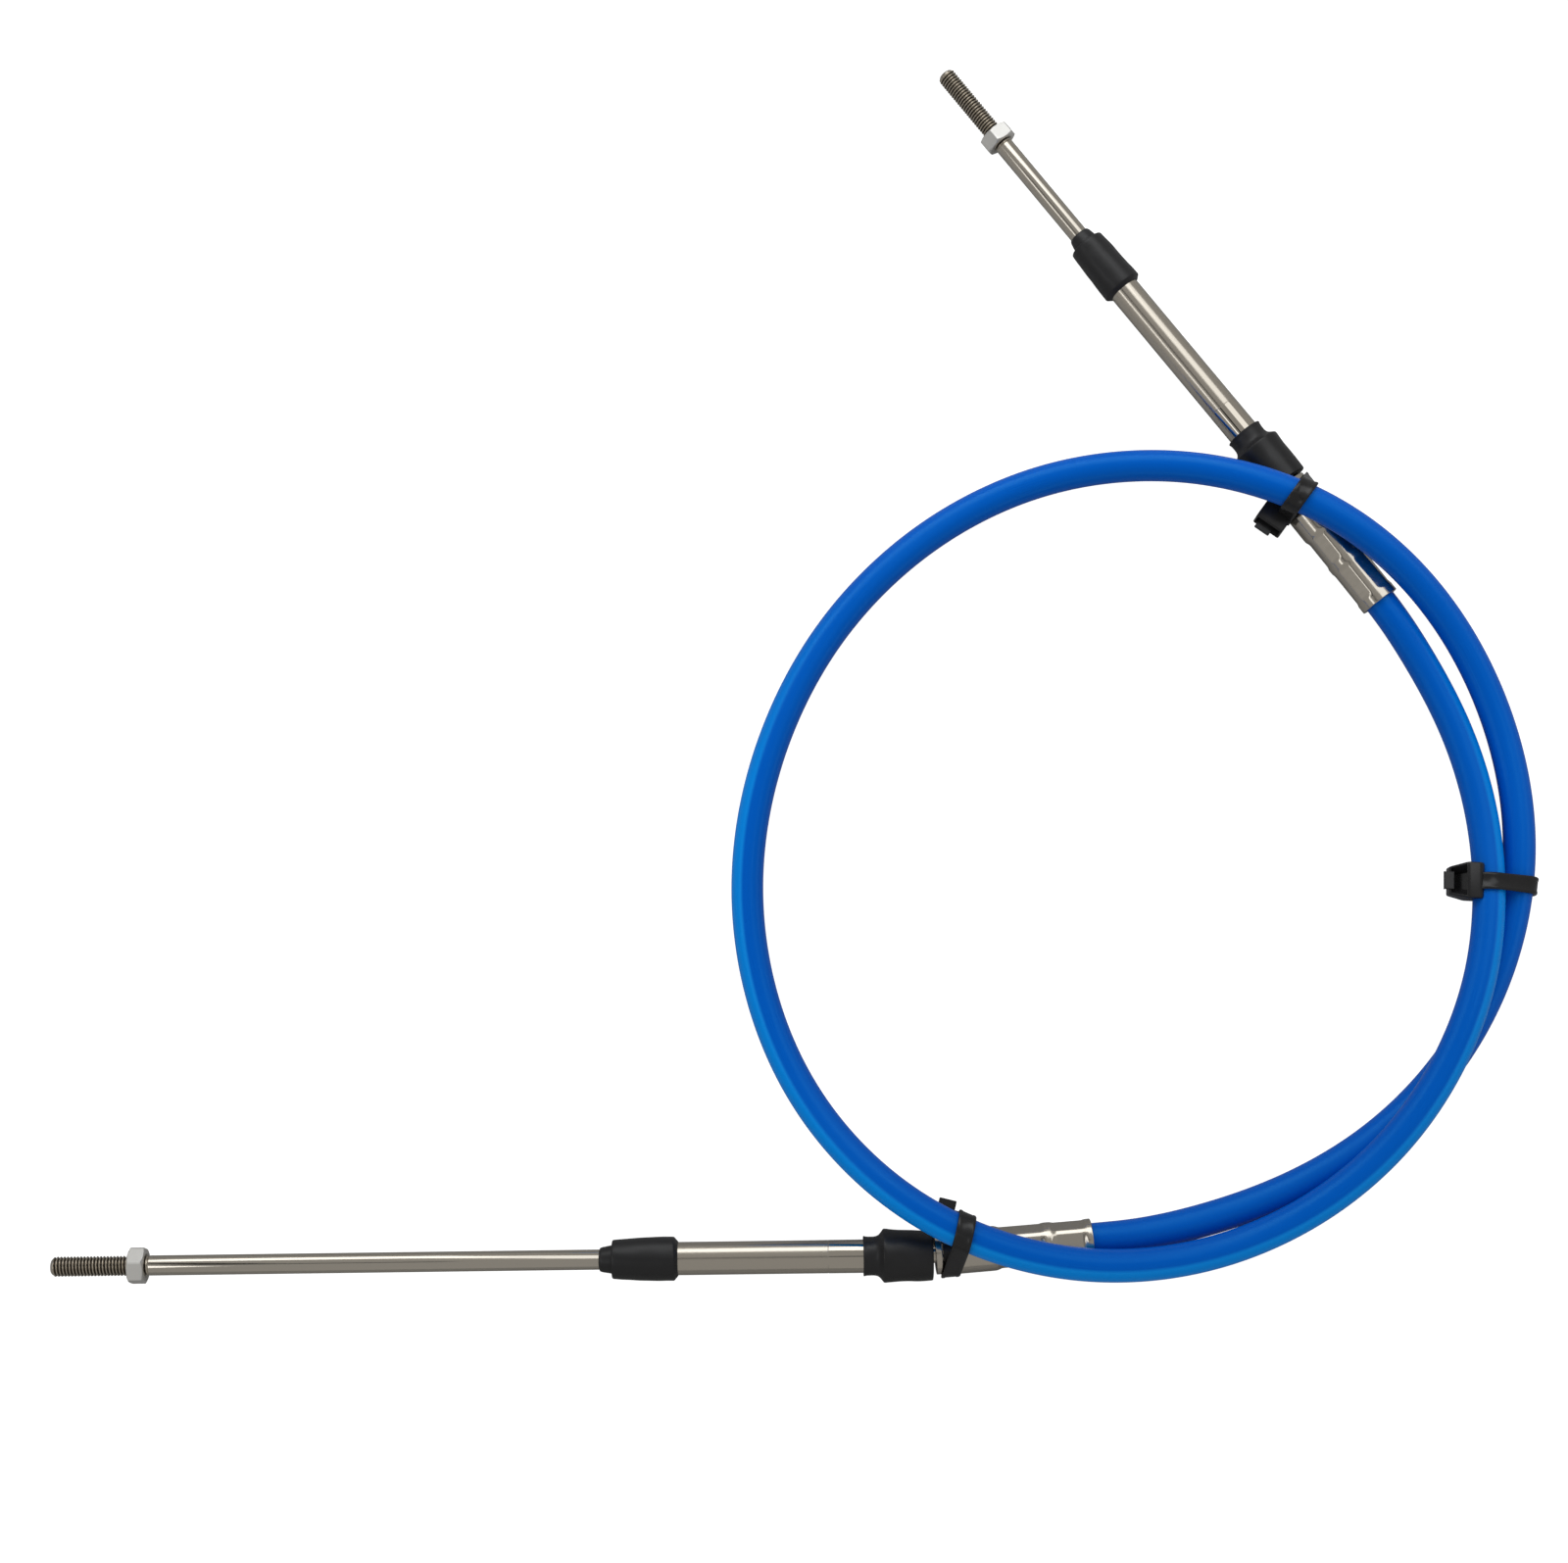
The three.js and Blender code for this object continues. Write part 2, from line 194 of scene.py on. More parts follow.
FITTING_A = Fitting(
    end=End.A,
    swivel=(31.5, -187.25),
    rod_heading=180.74,
    hub_heading=4.92,
    sleeve_shown=57.2,
    rod_shown=136.7,
    rod_inside=17.4,
    thread_shown=23.5,
    nut_turn=9.8,
    tie_at=14.6,
    ridge_at=41.3,
    crimp_turn=30.0,
    crimp_flat=5.6,
    crimp_corner=6.05,
    flare_at=53.4,
    seed=3,
)
FITTING_B = Fitting(
    end=End.B,
    swivel=(148.56, 59.07),
    rod_heading=127.07,
    hub_heading=-53.5,
    sleeve_shown=62.4,
    rod_shown=40.2,
    rod_inside=91.8,
    thread_shown=25.8,
    nut_turn=-21.0,
    tie_at=13.0,
    ridge_at=37.8,
    crimp_turn=12.0,
    crimp_flat=5.85,
    crimp_corner=6.2,
    flare_at=52.2,
    seed=8,
)

# The jacket's route, as the frame has it: bearing in degrees, distance from the middle, height
LOOP_MIDDLE = (98.5, -63.95)
ROUTE = (
    (-90, 117.35, 7.6),
    (-79, 114.85, 6.1),
    (-67, 114.1, 5.1),
    (-53, 115.1, 5.05),
    (-39, 117.0, 5.05),
    (-25, 119.2, 5.2),
    (-11, 121.2, 6.4),
    (3, 123.2, 6.5),
    (17, 125.0, 6.0),
    (31, 125.9, 9.0),
    (45, 125.2, 15.5),
    (59, 123.4, 20.9),
    (73, 122.5, 19.3),
    (87, 122.2, 12.8),
    (101, 120.9, 7.1),
    (115, 118.2, 5.1),
    (129, 115.6, 5.05),
    (143, 114.0, 5.05),
    (157, 113.5, 5.05),
    (171, 114.5, 5.05),
    (185, 116.8, 5.05),
    (199, 119.8, 5.3),
    (213, 123.2, 7.6),
    (227, 126.1, 13.8),
    (241, 127.7, 20.3),
    (255, 127.5, 19.9),
    (269, 126.2, 15.9),
    (283, 124.3, 12.6),
    (297, 121.9, 12.7),
    (311, 119.1, 14.7),
    (325, 116.2, 15.7),
    (339, 113.9, 14.7),
    (353, 112.3, 11.3),
    (367, 111.9, 7.3),
    (381, 112.05, 5.3),
    (393, 112.55, 6.2),
)


# Shapes


def smoothstep(low: float, high: float, value: float) -> float:
    """Rises smoothly from 0 at low to 1 at high."""
    share = min(max((value - low) / (high - low), 0.0), 1.0)
    return share * share * (3.0 - 2.0 * share)


def band(start: float, end: float, soft: float, value: float) -> float:
    """1 between start and end, falling to 0 over a soft stretch inside each side."""
    return smoothstep(start, start + soft, value) * (1.0 - smoothstep(end - soft, end, value))


def rounded(points: Profile, radii: Sequence[float], steps: int = 3) -> Profile:
    """Rounds the corners of an open profile.

    Args:
        points: Corners as (place along, radius).
        radii: Rounding of each corner, 0 for a sharp one; the two ends are left alone.
        steps: Segments in each round.

    Returns:
        The profile with its rounds.
    """
    result: Profile = [points[0]]
    for before, corner, after, radius in zip(points, points[1:], points[2:], radii[1:]):
        if radius <= 0.0:
            result.append(corner)
            continue
        here = Vector(corner)
        back = Vector(before) - here
        ahead = Vector(after) - here
        reach = min(radius, back.length * 0.48, ahead.length * 0.48)
        start = here + back.normalized() * reach
        stop = here + ahead.normalized() * reach
        for step in range(steps + 1):
            share = step / steps
            first = start.lerp(here, share)
            second = here.lerp(stop, share)
            result.append(tuple(first.lerp(second, share)))
    result.append(points[-1])
    return result


def refined(points: Profile, longest: float) -> Profile:
    """Adds points so that no stretch of a profile is longer than this."""
    result: Profile = [points[0]]
    for before, after in zip(points, points[1:]):
        length = math.dist(before, after)
        count = max(1, math.ceil(length / longest))
        for step in range(1, count + 1):
            share = step / count
            along = before[0] + (after[0] - before[0]) * share
            radius = before[1] + (after[1] - before[1]) * share
            result.append((along, radius))
    return result


def sphere_arc(radius: float, start: float, stop: float, steps: int) -> Profile:
    """Points on a sphere about the swivel's middle, between two places along."""
    points: Profile = []
    for step in range(steps + 1):
        along = start + (stop - start) * step / steps
        points.append((along, math.sqrt(max(radius * radius - along * along, 0.0))))
    return points


def mark_sharp(mesh: bpy.types.Mesh, degrees: float) -> None:
    """Smooth shading that breaks at edges sharper than this."""
    shape = bmesh.new()
    shape.from_mesh(mesh)
    limit = math.radians(degrees)
    for face in shape.faces:
        face.smooth = True
    for edge in shape.edges:
        edge.smooth = edge.calc_face_angle(0.0) < limit
    shape.to_mesh(mesh)
    shape.free()


def mesh_object(name: str, shape: bmesh.types.BMesh, sharp: float = 32.0) -> bpy.types.Object:
    """Turns a bmesh into a shaded object in the scene.

    Args:
        name: Name of the piece.
        shape: The built shape; it is freed here.
        sharp: Face angle above which an edge stays crisp, in degrees.

    Returns:
        The new object.
    """
    bmesh.ops.recalc_face_normals(shape, faces=shape.faces)
    mesh = bpy.data.meshes.new(name)
    shape.to_mesh(mesh)
    shape.free()
    mark_sharp(mesh, sharp)
    made = bpy.data.objects.new(name, mesh)
    bpy.context.collection.objects.link(made)
    return made


def skin(
    rings: Sequence[Sequence[Vector]], closed_ends: bool, looped: bool, run: Sequence[float]
) -> bmesh.types.BMesh:
    """Skins a row of rings with quads and a UV map of run along by share around.

    Args:
        rings: Rings of points, all with the same count.
        closed_ends: Whether the first and last ring are filled.
        looped: Whether the last ring joins the first.
        run: The first UV value of each ring.

    Returns:
        The skinned shape.
    """
    shape = bmesh.new()
    layer = shape.loops.layers.uv.new("run")
    rows = [[shape.verts.new(point) for point in ring] for ring in rings]
    count = len(rows[0])
    pairs = list(zip(range(len(rows) - 1), range(1, len(rows))))
    if looped:
        pairs.append((len(rows) - 1, 0))
    for low, high in pairs:
        high_run = run[high] if high > low else run[low] + (run[1] - run[0])
        for side in range(count):
            after = (side + 1) % count
            corners = (rows[low][side], rows[high][side], rows[high][after], rows[low][after])
            face = shape.faces.new(corners)
            places = (
                (run[low], side / count),
                (high_run, side / count),
                (high_run, (side + 1) / count),
                (run[low], (side + 1) / count),
            )
            for loop, place in zip(face.loops, places):
                loop[layer].uv = place
    if closed_ends:
        shape.faces.new(rows[0])
        shape.faces.new(list(reversed(rows[-1])))
    return shape


def turned(
    name: str, profile: Profile, sides: int, reshape: Shape | None = None, sharp: float = 32.0
) -> bpy.types.Object:
    """A turned piece about +X. A profile that ends on the axis is closed, any other is a closed ring.

    Args:
        name: Name of the piece.
        profile: (place along, radius) points.
        sides: Number of sides.
        reshape: Share of the radius kept at a place along and an angle.
        sharp: Crisp edge angle in degrees.

    Returns:
        The piece, in millimetres.
    """
    on_axis = profile[0][1] <= 0.0
    points = profile[1:-1] if on_axis else profile
    rings = []
    for along, radius in points:
        ring = []
        for side in range(sides):
            angle = 2.0 * math.pi * side / sides
            reach = radius * (reshape(along, angle) if reshape else 1.0)
            ring.append(Vector((along, reach * math.cos(angle), reach * math.sin(angle))))
        rings.append(ring)
    run = [0.0]
    for before, after in zip(points, points[1:]):
        run.append(run[-1] + math.dist(before, after))
    return mesh_object(name, skin(rings, on_axis, not on_axis, run), sharp)


# Node groups and finishes


class Nodes:
    """Adds nodes to a tree and links them."""

    def __init__(self, tree: bpy.types.NodeTree) -> None:
        """Starts with an empty tree."""
        self.tree = tree
        tree.nodes.clear()

    def add(self, kind: str, settings: dict | None = None, **sockets: object) -> bpy.types.Node:
        """Adds one node.

        Args:
            kind: Blender's name for the node type.
            settings: Properties of the node.
            sockets: Input values or links, named in lower case with underscores.

        Returns:
            The node.
        """
        node = self.tree.nodes.new(kind)
        for key, value in (settings or {}).items():
            setattr(node, key, value)
        for key, value in sockets.items():
            socket = self.socket(node, key)
            if isinstance(value, bpy.types.NodeSocket):
                self.tree.links.new(value, socket)
            else:
                socket.default_value = value
        return node

    @staticmethod
    def socket(node: bpy.types.Node, key: str) -> bpy.types.NodeSocket:
        """The enabled input of a node by its lower-case name, or by number as in_0."""
        if key.startswith("in_"):
            return node.inputs[int(key[3:])]
        for socket in node.inputs:
            if socket.enabled and socket.name.lower().replace(" ", "_") == key:
                return socket
        raise KeyError(f"{node.name} has no input {key}")

    def math(self, operation: str, *values: object) -> bpy.types.NodeSocket:
        """A math node's result."""
        names = {f"in_{i}": value for i, value in enumerate(values)}
        return self.add("ShaderNodeMath", {"operation": operation}, **names).outputs[0]

    def mix(self, factor: object, first: object, second: object) -> bpy.types.NodeSocket:
        """A colour mix."""
        node = self.add("ShaderNodeMix", {"data_type": "RGBA"})
        for index, value in ((0, factor), (6, first), (7, second)):
            if isinstance(value, bpy.types.NodeSocket):
                self.tree.links.new(value, node.inputs[index])
            else:
                node.inputs[index].default_value = value
        return node.outputs[2]

    def span(self, value: object, low: float, high: float, start: float, stop: float) -> bpy.types.NodeSocket:
        """Maps a value from low..high to start..stop, clamped."""
        return self.add(
            "ShaderNodeMapRange",
            None,
            value=value,
            from_min=low,
            from_max=high,
            to_min=start,
            to_max=stop,
        ).outputs[0]


class Effects:
    """Node groups that several finishes share."""

    def __init__(self) -> None:
        """Builds each group once."""
        self.drawn = self._drawn_lines()
        self.smudge = self._smudge()
        self.edge = self._edge_wear()

    @staticmethod
    def _group(name: str, inputs: dict[str, float], outputs: Sequence[str]) -> tuple:
        """A new group with number inputs and outputs.

        Args:
            name: Name of the group.
            inputs: Input names and their first values.
            outputs: Output names.

        Returns:
            The tree, its node adder, its input node and its output node.
        """
        tree = bpy.data.node_groups.new(name, "ShaderNodeTree")
        nodes = Nodes(tree)
        for key, value in inputs.items():
            socket = tree.interface.new_socket(key, in_out="INPUT", socket_type="NodeSocketFloat")
            socket.default_value = value
        for key in outputs:
            tree.interface.new_socket(key, in_out="OUTPUT", socket_type="NodeSocketFloat")
        return tree, nodes, nodes.add("NodeGroupInput"), nodes.add("NodeGroupOutput")

    def _drawn_lines(self) -> bpy.types.NodeTree:
        """Fine lines that run along a drawn or ground piece, from its run UV map."""
        inputs = {"Along": 0.02, "Around": 60.0, "Seed": 0.0}
        tree, nodes, given, result = self._group("drawn_lines", inputs, ["Lines"])
        place = nodes.add("ShaderNodeUVMap", {"uv_map": "run"}).outputs[0]
        parts = nodes.add("ShaderNodeSeparateXYZ", None, vector=place)
        along = nodes.math("MULTIPLY", parts.outputs[0], given.outputs["Along"])
        turn = nodes.math("MULTIPLY", parts.outputs[1], 2.0 * math.pi)
        across = nodes.math("MULTIPLY", nodes.math("COSINE", turn), given.outputs["Around"])
        upward = nodes.math("MULTIPLY", nodes.math("SINE", turn), given.outputs["Around"])
        moved = nodes.math("ADD", along, given.outputs["Seed"])
        spot = nodes.add("ShaderNodeCombineXYZ", None, x=moved, y=across, z=upward).outputs[0]
        lines = nodes.add("ShaderNodeTexNoise", None, vector=spot, scale=1.0, detail=3.0)
        tree.links.new(lines.outputs[0], result.inputs["Lines"])
        return tree

    def _smudge(self) -> bpy.types.NodeTree:
        """Soft uneven patches from handling, in the piece's own space."""
        inputs = {"Size": 8.0, "Low": 0.4, "High": 0.65}
        tree, nodes, given, result = self._group("smudge", inputs, ["Mask"])
        place = nodes.add("ShaderNodeTexCoord").outputs["Object"]
        patches = nodes.add("ShaderNodeTexNoise", None, vector=place, detail=4.0, roughness=0.6)
        tree.links.new(given.outputs["Size"], nodes.socket(patches, "scale"))
        mask = nodes.add("ShaderNodeMapRange", None, value=patches.outputs[0])
        tree.links.new(given.outputs["Low"], nodes.socket(mask, "from_min"))
        tree.links.new(given.outputs["High"], nodes.socket(mask, "from_max"))
        tree.links.new(mask.outputs[0], result.inputs["Mask"])
        return tree

    def _edge_wear(self) -> bpy.types.NodeTree:
        """Outer edges that handling has rubbed."""
        inputs = {"Start": 0.52, "Full": 0.62}
        tree, nodes, given, result = self._group("edge_wear", inputs, ["Mask"])
        edge = nodes.add("ShaderNodeNewGeometry").outputs["Pointiness"]
        mask = nodes.add("ShaderNodeMapRange", None, value=edge)
        tree.links.new(given.outputs["Start"], nodes.socket(mask, "from_min"))
        tree.links.new(given.outputs["Full"], nodes.socket(mask, "from_max"))
        tree.links.new(mask.outputs[0], result.inputs["Mask"])
        return tree


def use(nodes: Nodes, group: bpy.types.NodeTree, **values: float) -> bpy.types.NodeSocket:
    """Places a shared group in a material with its own values and gives its first output."""
    node = nodes.add("ShaderNodeGroup", {"node_tree": group})
    for key, value in values.items():
        node.inputs[key].default_value = value
    return node.outputs[0]


def new_material(name: str) -> tuple[bpy.types.Material, Nodes, bpy.types.Node]:
    """A node material with a Principled BSDF.

    Args:
        name: Name of the finish.

    Returns:
        The material, its node adder and its shader.
    """
    material = bpy.data.materials.new(name)
    material.use_nodes = True
    nodes = Nodes(material.node_tree)
    shader = nodes.add("ShaderNodeBsdfPrincipled")
    output = nodes.add("ShaderNodeOutputMaterial")
    material.node_tree.links.new(shader.outputs[0], output.inputs[0])
    return material, nodes, shader


Colour = tuple[float, float, float, float]


@dataclass(frozen=True)
class JacketFinish:
    """Satin blue extruded jacket with faint rubs, and painted light: a paler blue along the loop's outer
    flank for part of its length, where low light falls.
    """

    blue: Colour = (0.0, 0.105, 0.56, 1.0)
    # pale: the blue of the outer flank as low light shows it, painted into the colour
    pale: Colour = (0.0, 0.235, 0.78, 1.0)
    gloss_tint: Colour = (0.12, 0.72, 1.0, 1.0)
    roughness: float = 0.24
    rub_roughness: float = 0.36
    lit_flank_from: float = 0.29
    lit_flank_to: float = 0.325
    lit_flank_start: float = 560.0
    lit_flank_end: float = 980.0
    lit_flank_fade: float = 70.0

    def make(self, effects: Effects) -> bpy.types.Material:
        """Builds the material."""
        material, nodes, shader = new_material("jacket_blue")
        link = material.node_tree.links.new
        smudge = use(nodes, effects.smudge, Size=22.0, Low=0.42, High=0.72)
        lines = use(nodes, effects.drawn, Along=0.05, Around=9.0)
        # painted light: the outer flank turns to the paler blue as though lit from low at the side
        colour = nodes.mix(self._painted_lit_flank(nodes), self.blue, self.pale)
        link(colour, shader.inputs["Base Color"])
        rough = nodes.span(smudge, 0.0, 1.0, self.roughness, self.rub_roughness)
        wave = nodes.math("MULTIPLY", lines, 0.05)
        link(nodes.math("ADD", rough, wave), shader.inputs["Roughness"])
        bump = nodes.add("ShaderNodeBump", None, strength=0.1, distance=0.0002, height=lines)
        link(bump.outputs[0], shader.inputs["Normal"])
        shader.inputs["Specular IOR Level"].default_value = 0.34
        shader.inputs["Specular Tint"].default_value = self.gloss_tint
        return material

    def _painted_lit_flank(self, nodes: Nodes) -> bpy.types.NodeSocket:
        """Mask of the paler flank, which is painted light, from the run UV map: the loop's outer side, on its
        last turn.
        """
        place = nodes.add("ShaderNodeUVMap", {"uv_map": "run"}).outputs[0]
        parts = nodes.add("ShaderNodeSeparateXYZ", None, vector=place)
        along, around = parts.outputs[0], parts.outputs[1]
        side = nodes.span(around, self.lit_flank_from, self.lit_flank_to, 0.0, 1.0)
        begin = nodes.span(along, self.lit_flank_start - self.lit_flank_fade, self.lit_flank_start, 0.0, 1.0)
        finish = nodes.span(along, self.lit_flank_end, self.lit_flank_end + self.lit_flank_fade, 1.0, 0.0)
        return nodes.math("MULTIPLY", side, nodes.math("MULTIPLY", begin, finish))


class Grind(Enum):
    """Which way a steel surface was worked."""

    ALONG = (0.03, 40.0)
    AROUND = (6.0, 0.6)
    TUMBLED = (0.5, 0.9)


@dataclass(frozen=True)
class SteelFinish:
    """Stainless steel with working marks, soft stains and brighter edges."""

    name: str
    colour: Colour
    stain: Colour
    roughness: float
    spread: float
    grind: Grind
    mark_depth: float
    polished_from: float = 0.0
    polished_to: float = 0.0

    def make(self, effects: Effects) -> bpy.types.Material:
        """Builds the material."""
        material, nodes, shader = new_material(self.name)
        link = material.node_tree.links.new
        along, around = self.grind.value
        lines = use(nodes, effects.drawn, Along=along, Around=around)
        smudge = use(nodes, effects.smudge, Size=60.0, Low=0.45, High=0.75)
        edge = use(nodes, effects.edge, Start=0.53, Full=0.64)
        stained = nodes.mix(nodes.math("MULTIPLY", smudge, 0.6), self.colour, self.stain)
        bright = tuple(min(1.0, part * 1.25) for part in self.colour[:3]) + (1.0,)
        link(nodes.mix(nodes.math("MULTIPLY", edge, 0.5), stained, bright), shader.inputs["Base Color"])
        rough = nodes.span(lines, 0.3, 0.7, self.roughness - self.spread, self.roughness + self.spread)
        if self.polished_to > self.polished_from:
            rough = self._polish(nodes, rough)
        link(rough, shader.inputs["Roughness"])
        bump = nodes.add(
            "ShaderNodeBump", None, strength=self.mark_depth, distance=0.0001, height=lines
        )
        link(bump.outputs[0], shader.inputs["Normal"])
        shader.inputs["Metallic"].default_value = 1.0
        return material

    def _polish(self, nodes: Nodes, rough: bpy.types.NodeSocket) -> bpy.types.NodeSocket:
        """Lowers the roughness in the polished band of a tube."""
        place = nodes.add("ShaderNodeTexCoord").outputs["Object"]
        along = nodes.add("ShaderNodeSeparateXYZ", None, vector=place).outputs[0]
        after = nodes.math("GREATER_THAN", along, self.polished_from)
        before = nodes.math("LESS_THAN", along, self.polished_to)
        inside = nodes.math("MULTIPLY", after, before)
        keep = nodes.span(inside, 0.0, 1.0, 1.0, 0.3)
        return nodes.math("MULTIPLY", rough, keep)


@dataclass(frozen=True)
class DarkFinish:
    """Black rubber or nylon: nearly even colour, soft gloss, paler rubbed edges and a fine skin."""

    name: str
    colour: Colour
    pale: Colour
    roughness: float
    dull: float
    grain: float
    grain_depth: float
    gloss: float

    def make(self, effects: Effects) -> bpy.types.Material:
        """Builds the material."""
        material, nodes, shader = new_material(self.name)
        link = material.node_tree.links.new
        smudge = use(nodes, effects.smudge, Size=90.0, Low=0.4, High=0.7)
        edge = use(nodes, effects.edge, Start=0.54, Full=0.7)
        spread = nodes.math("MAXIMUM", nodes.math("MULTIPLY", smudge, 0.35), edge)
        link(nodes.mix(spread, self.colour, self.pale), shader.inputs["Base Color"])
        link(nodes.span(smudge, 0.0, 1.0, self.roughness, self.dull), shader.inputs["Roughness"])
        place = nodes.add("ShaderNodeTexCoord").outputs["Object"]
        skin_noise = nodes.add("ShaderNodeTexNoise", None, vector=place, scale=self.grain, detail=3.0)
        bump = nodes.add(
            "ShaderNodeBump",
            None,
            strength=self.grain_depth,
            distance=0.0001,
            height=skin_noise.outputs[0],
        )
        link(bump.outputs[0], shader.inputs["Normal"])
        shader.inputs["Specular IOR Level"].default_value = self.gloss
        return material


@dataclass
class Finishes:
    """Every finish of the cable, made once."""

    effects: Effects = field(default_factory=Effects)

    def __post_init__(self) -> None:
        """Builds the materials."""
        warm = (0.61, 0.565, 0.495, 1.0)
        olive = (0.52, 0.475, 0.39, 1.0)
        self.jacket = JacketFinish().make(self.effects)
        self.rod = SteelFinish(
            name="rod_steel",
            colour=warm,
            stain=olive,
            roughness=0.12,
            spread=0.03,
            grind=Grind.ALONG,
            mark_depth=0.02,
        ).make(self.effects)
        self.thread = SteelFinish(
            name="thread_steel",
            colour=(0.58, 0.52, 0.43, 1.0),
            stain=(0.46, 0.41, 0.34, 1.0),
            roughness=0.22,
            spread=0.03,
            grind=Grind.ALONG,
            mark_depth=0.0,
        ).make(self.effects)
        self.sleeve = SteelFinish(
            name="sleeve_steel",
            colour=(0.62, 0.57, 0.495, 1.0),
            stain=olive,
            roughness=0.2,
            spread=0.04,
            grind=Grind.ALONG,
            mark_depth=0.04,
            polished_from=0.0,
            polished_to=24.7,
        ).make(self.effects)
        # painted shade: near-black steel for the thread's roots, standing for the shade deep in its grooves
        self.root = SteelFinish(
            name="thread_root",
            colour=(0.07, 0.06, 0.05, 1.0),
            stain=(0.05, 0.045, 0.04, 1.0),
            roughness=0.4,
            spread=0.05,
            grind=Grind.ALONG,
            mark_depth=0.0,
        ).make(self.effects)
        self.hub = SteelFinish(
            name="hub_steel",
            colour=warm,
            stain=olive,
            roughness=0.17,
            spread=0.04,
            grind=Grind.TUMBLED,
            mark_depth=0.06,
        ).make(self.effects)
        # painted shade: near-black steel in the hub's groove, standing for the shade that falls there
        self.groove = SteelFinish(
            name="groove_steel",
            colour=(0.08, 0.08, 0.08, 1.0),
            stain=(0.05, 0.05, 0.05, 1.0),
            roughness=0.45,
            spread=0.05,
            grind=Grind.AROUND,
            mark_depth=0.1,
        ).make(self.effects)
        self.nut = SteelFinish(
            name="nut_steel",
            colour=(0.8, 0.79, 0.76, 1.0),
            stain=(0.72, 0.71, 0.68, 1.0),
            roughness=0.5,
            spread=0.05,
            grind=Grind.TUMBLED,
            mark_depth=0.04,
        ).make(self.effects)
        self.rubber = DarkFinish(
            name="seal_rubber",
            colour=(0.012, 0.012, 0.013, 1.0),
            pale=(0.03, 0.03, 0.034, 1.0),
            roughness=0.34,
            dull=0.5,
            grain=900.0,
            grain_depth=0.1,
            gloss=0.42,
        ).make(self.effects)
        self.nylon = DarkFinish(
            name="tie_nylon",
            colour=(0.009, 0.009, 0.010, 1.0),
            pale=(0.022, 0.022, 0.024, 1.0),
            roughness=0.24,
            dull=0.36,
            grain=1400.0,
            grain_depth=0.05,
            gloss=0.48,
        ).make(self.effects)


def dress(piece: bpy.types.Object, material: bpy.types.Material) -> None:
    """Gives a piece its one material."""
    piece.data.materials.clear()
    piece.data.materials.append(material)


# The jacket


def cubic_spline(points: np.ndarray, step: float) -> np.ndarray:
    """Natural cubic spline through points, sampled at about even steps.

    Args:
        points: Points in order, one row each.
        step: Distance between samples.

    Returns:
        The samples.
    """
    spans = np.linalg.norm(np.diff(points, axis=0), axis=1)
    places = np.concatenate(([0.0], np.cumsum(spans)))
    count = len(points)
    system = np.eye(count)
    right = np.zeros_like(points)
    for i in range(1, count - 1):
        before, after = spans[i - 1], spans[i]
        system[i, i - 1 : i + 2] = (before, 2.0 * (before + after), after)
        rise_after = (points[i + 1] - points[i]) / after
        rise_before = (points[i] - points[i - 1]) / before
        right[i] = 6.0 * (rise_after - rise_before)
    bends = np.linalg.solve(system, right)
    wanted = np.linspace(0.0, places[-1], max(2, int(places[-1] / step)))
    index = np.clip(np.searchsorted(places, wanted, side="right") - 1, 0, count - 2)
    low = places[index]
    span = spans[index]
    left = ((low + span - wanted) / span)[:, None]
    ahead = ((wanted - low) / span)[:, None]
    square = (span**2 / 6.0)[:, None]
    straight = left * points[index] + ahead * points[index + 1]
    curved = (left**3 - left) * bends[index] + (ahead**3 - ahead) * bends[index + 1]
    return straight + curved * square


@dataclass
class Jacket:
    """The blue jacketed cable from hub to hub."""

    sides: int = 40
    step: float = 1.8
    end_in_mouth: float = 0.3
    path: np.ndarray = field(init=False)

    def __post_init__(self) -> None:
        """Works out the route through both hub mouths and the loop."""
        inside = SIZES.hub_length - SIZES.mouth_depth + self.end_in_mouth
        outside = SIZES.hub_length + 1.0
        points = [FITTING_A.along_hub(inside), FITTING_A.along_hub(outside)]
        for bearing, distance, height in ROUTE:
            angle = math.radians(bearing)
            x = LOOP_MIDDLE[0] + distance * math.cos(angle)
            y = LOOP_MIDDLE[1] + distance * math.sin(angle)
            points.append(Vector((x, y, height)))
        points += [FITTING_B.along_hub(outside), FITTING_B.along_hub(inside)]
        self.path = cubic_spline(np.array(points), self.step)

    def length(self) -> float:
        """Length of the route in metres."""
        return float(np.linalg.norm(np.diff(self.path, axis=0), axis=1).sum()) * MM

    def build(self, finish: bpy.types.Material) -> bpy.types.Object:
        """Args:
            finish: The jacket's material.

        Returns:
            The jacket.
        """
        headings = np.gradient(self.path, axis=0)
        headings /= np.linalg.norm(headings, axis=1)[:, None]
        rings = []
        for place, heading in zip(self.path, headings):
            ahead = Vector(heading)
            aside = Vector((0.0, 0.0, 1.0)).cross(ahead).normalized()
            upward = ahead.cross(aside)
            ring = []
            for side in range(self.sides):
                angle = 2.0 * math.pi * side / self.sides
                offset = aside * math.cos(angle) + upward * math.sin(angle)
                ring.append((Vector(place) + offset * SIZES.jacket) * MM)
            rings.append(ring)
        run = [float(i) * self.step for i in range(len(rings))]
        piece = mesh_object("blue_jacket", skin(rings, True, False, run), 60.0)
        dress(piece, finish)
        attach(piece, Body.CABLE.value)
        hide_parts("jacket")
        return piece


# The fittings


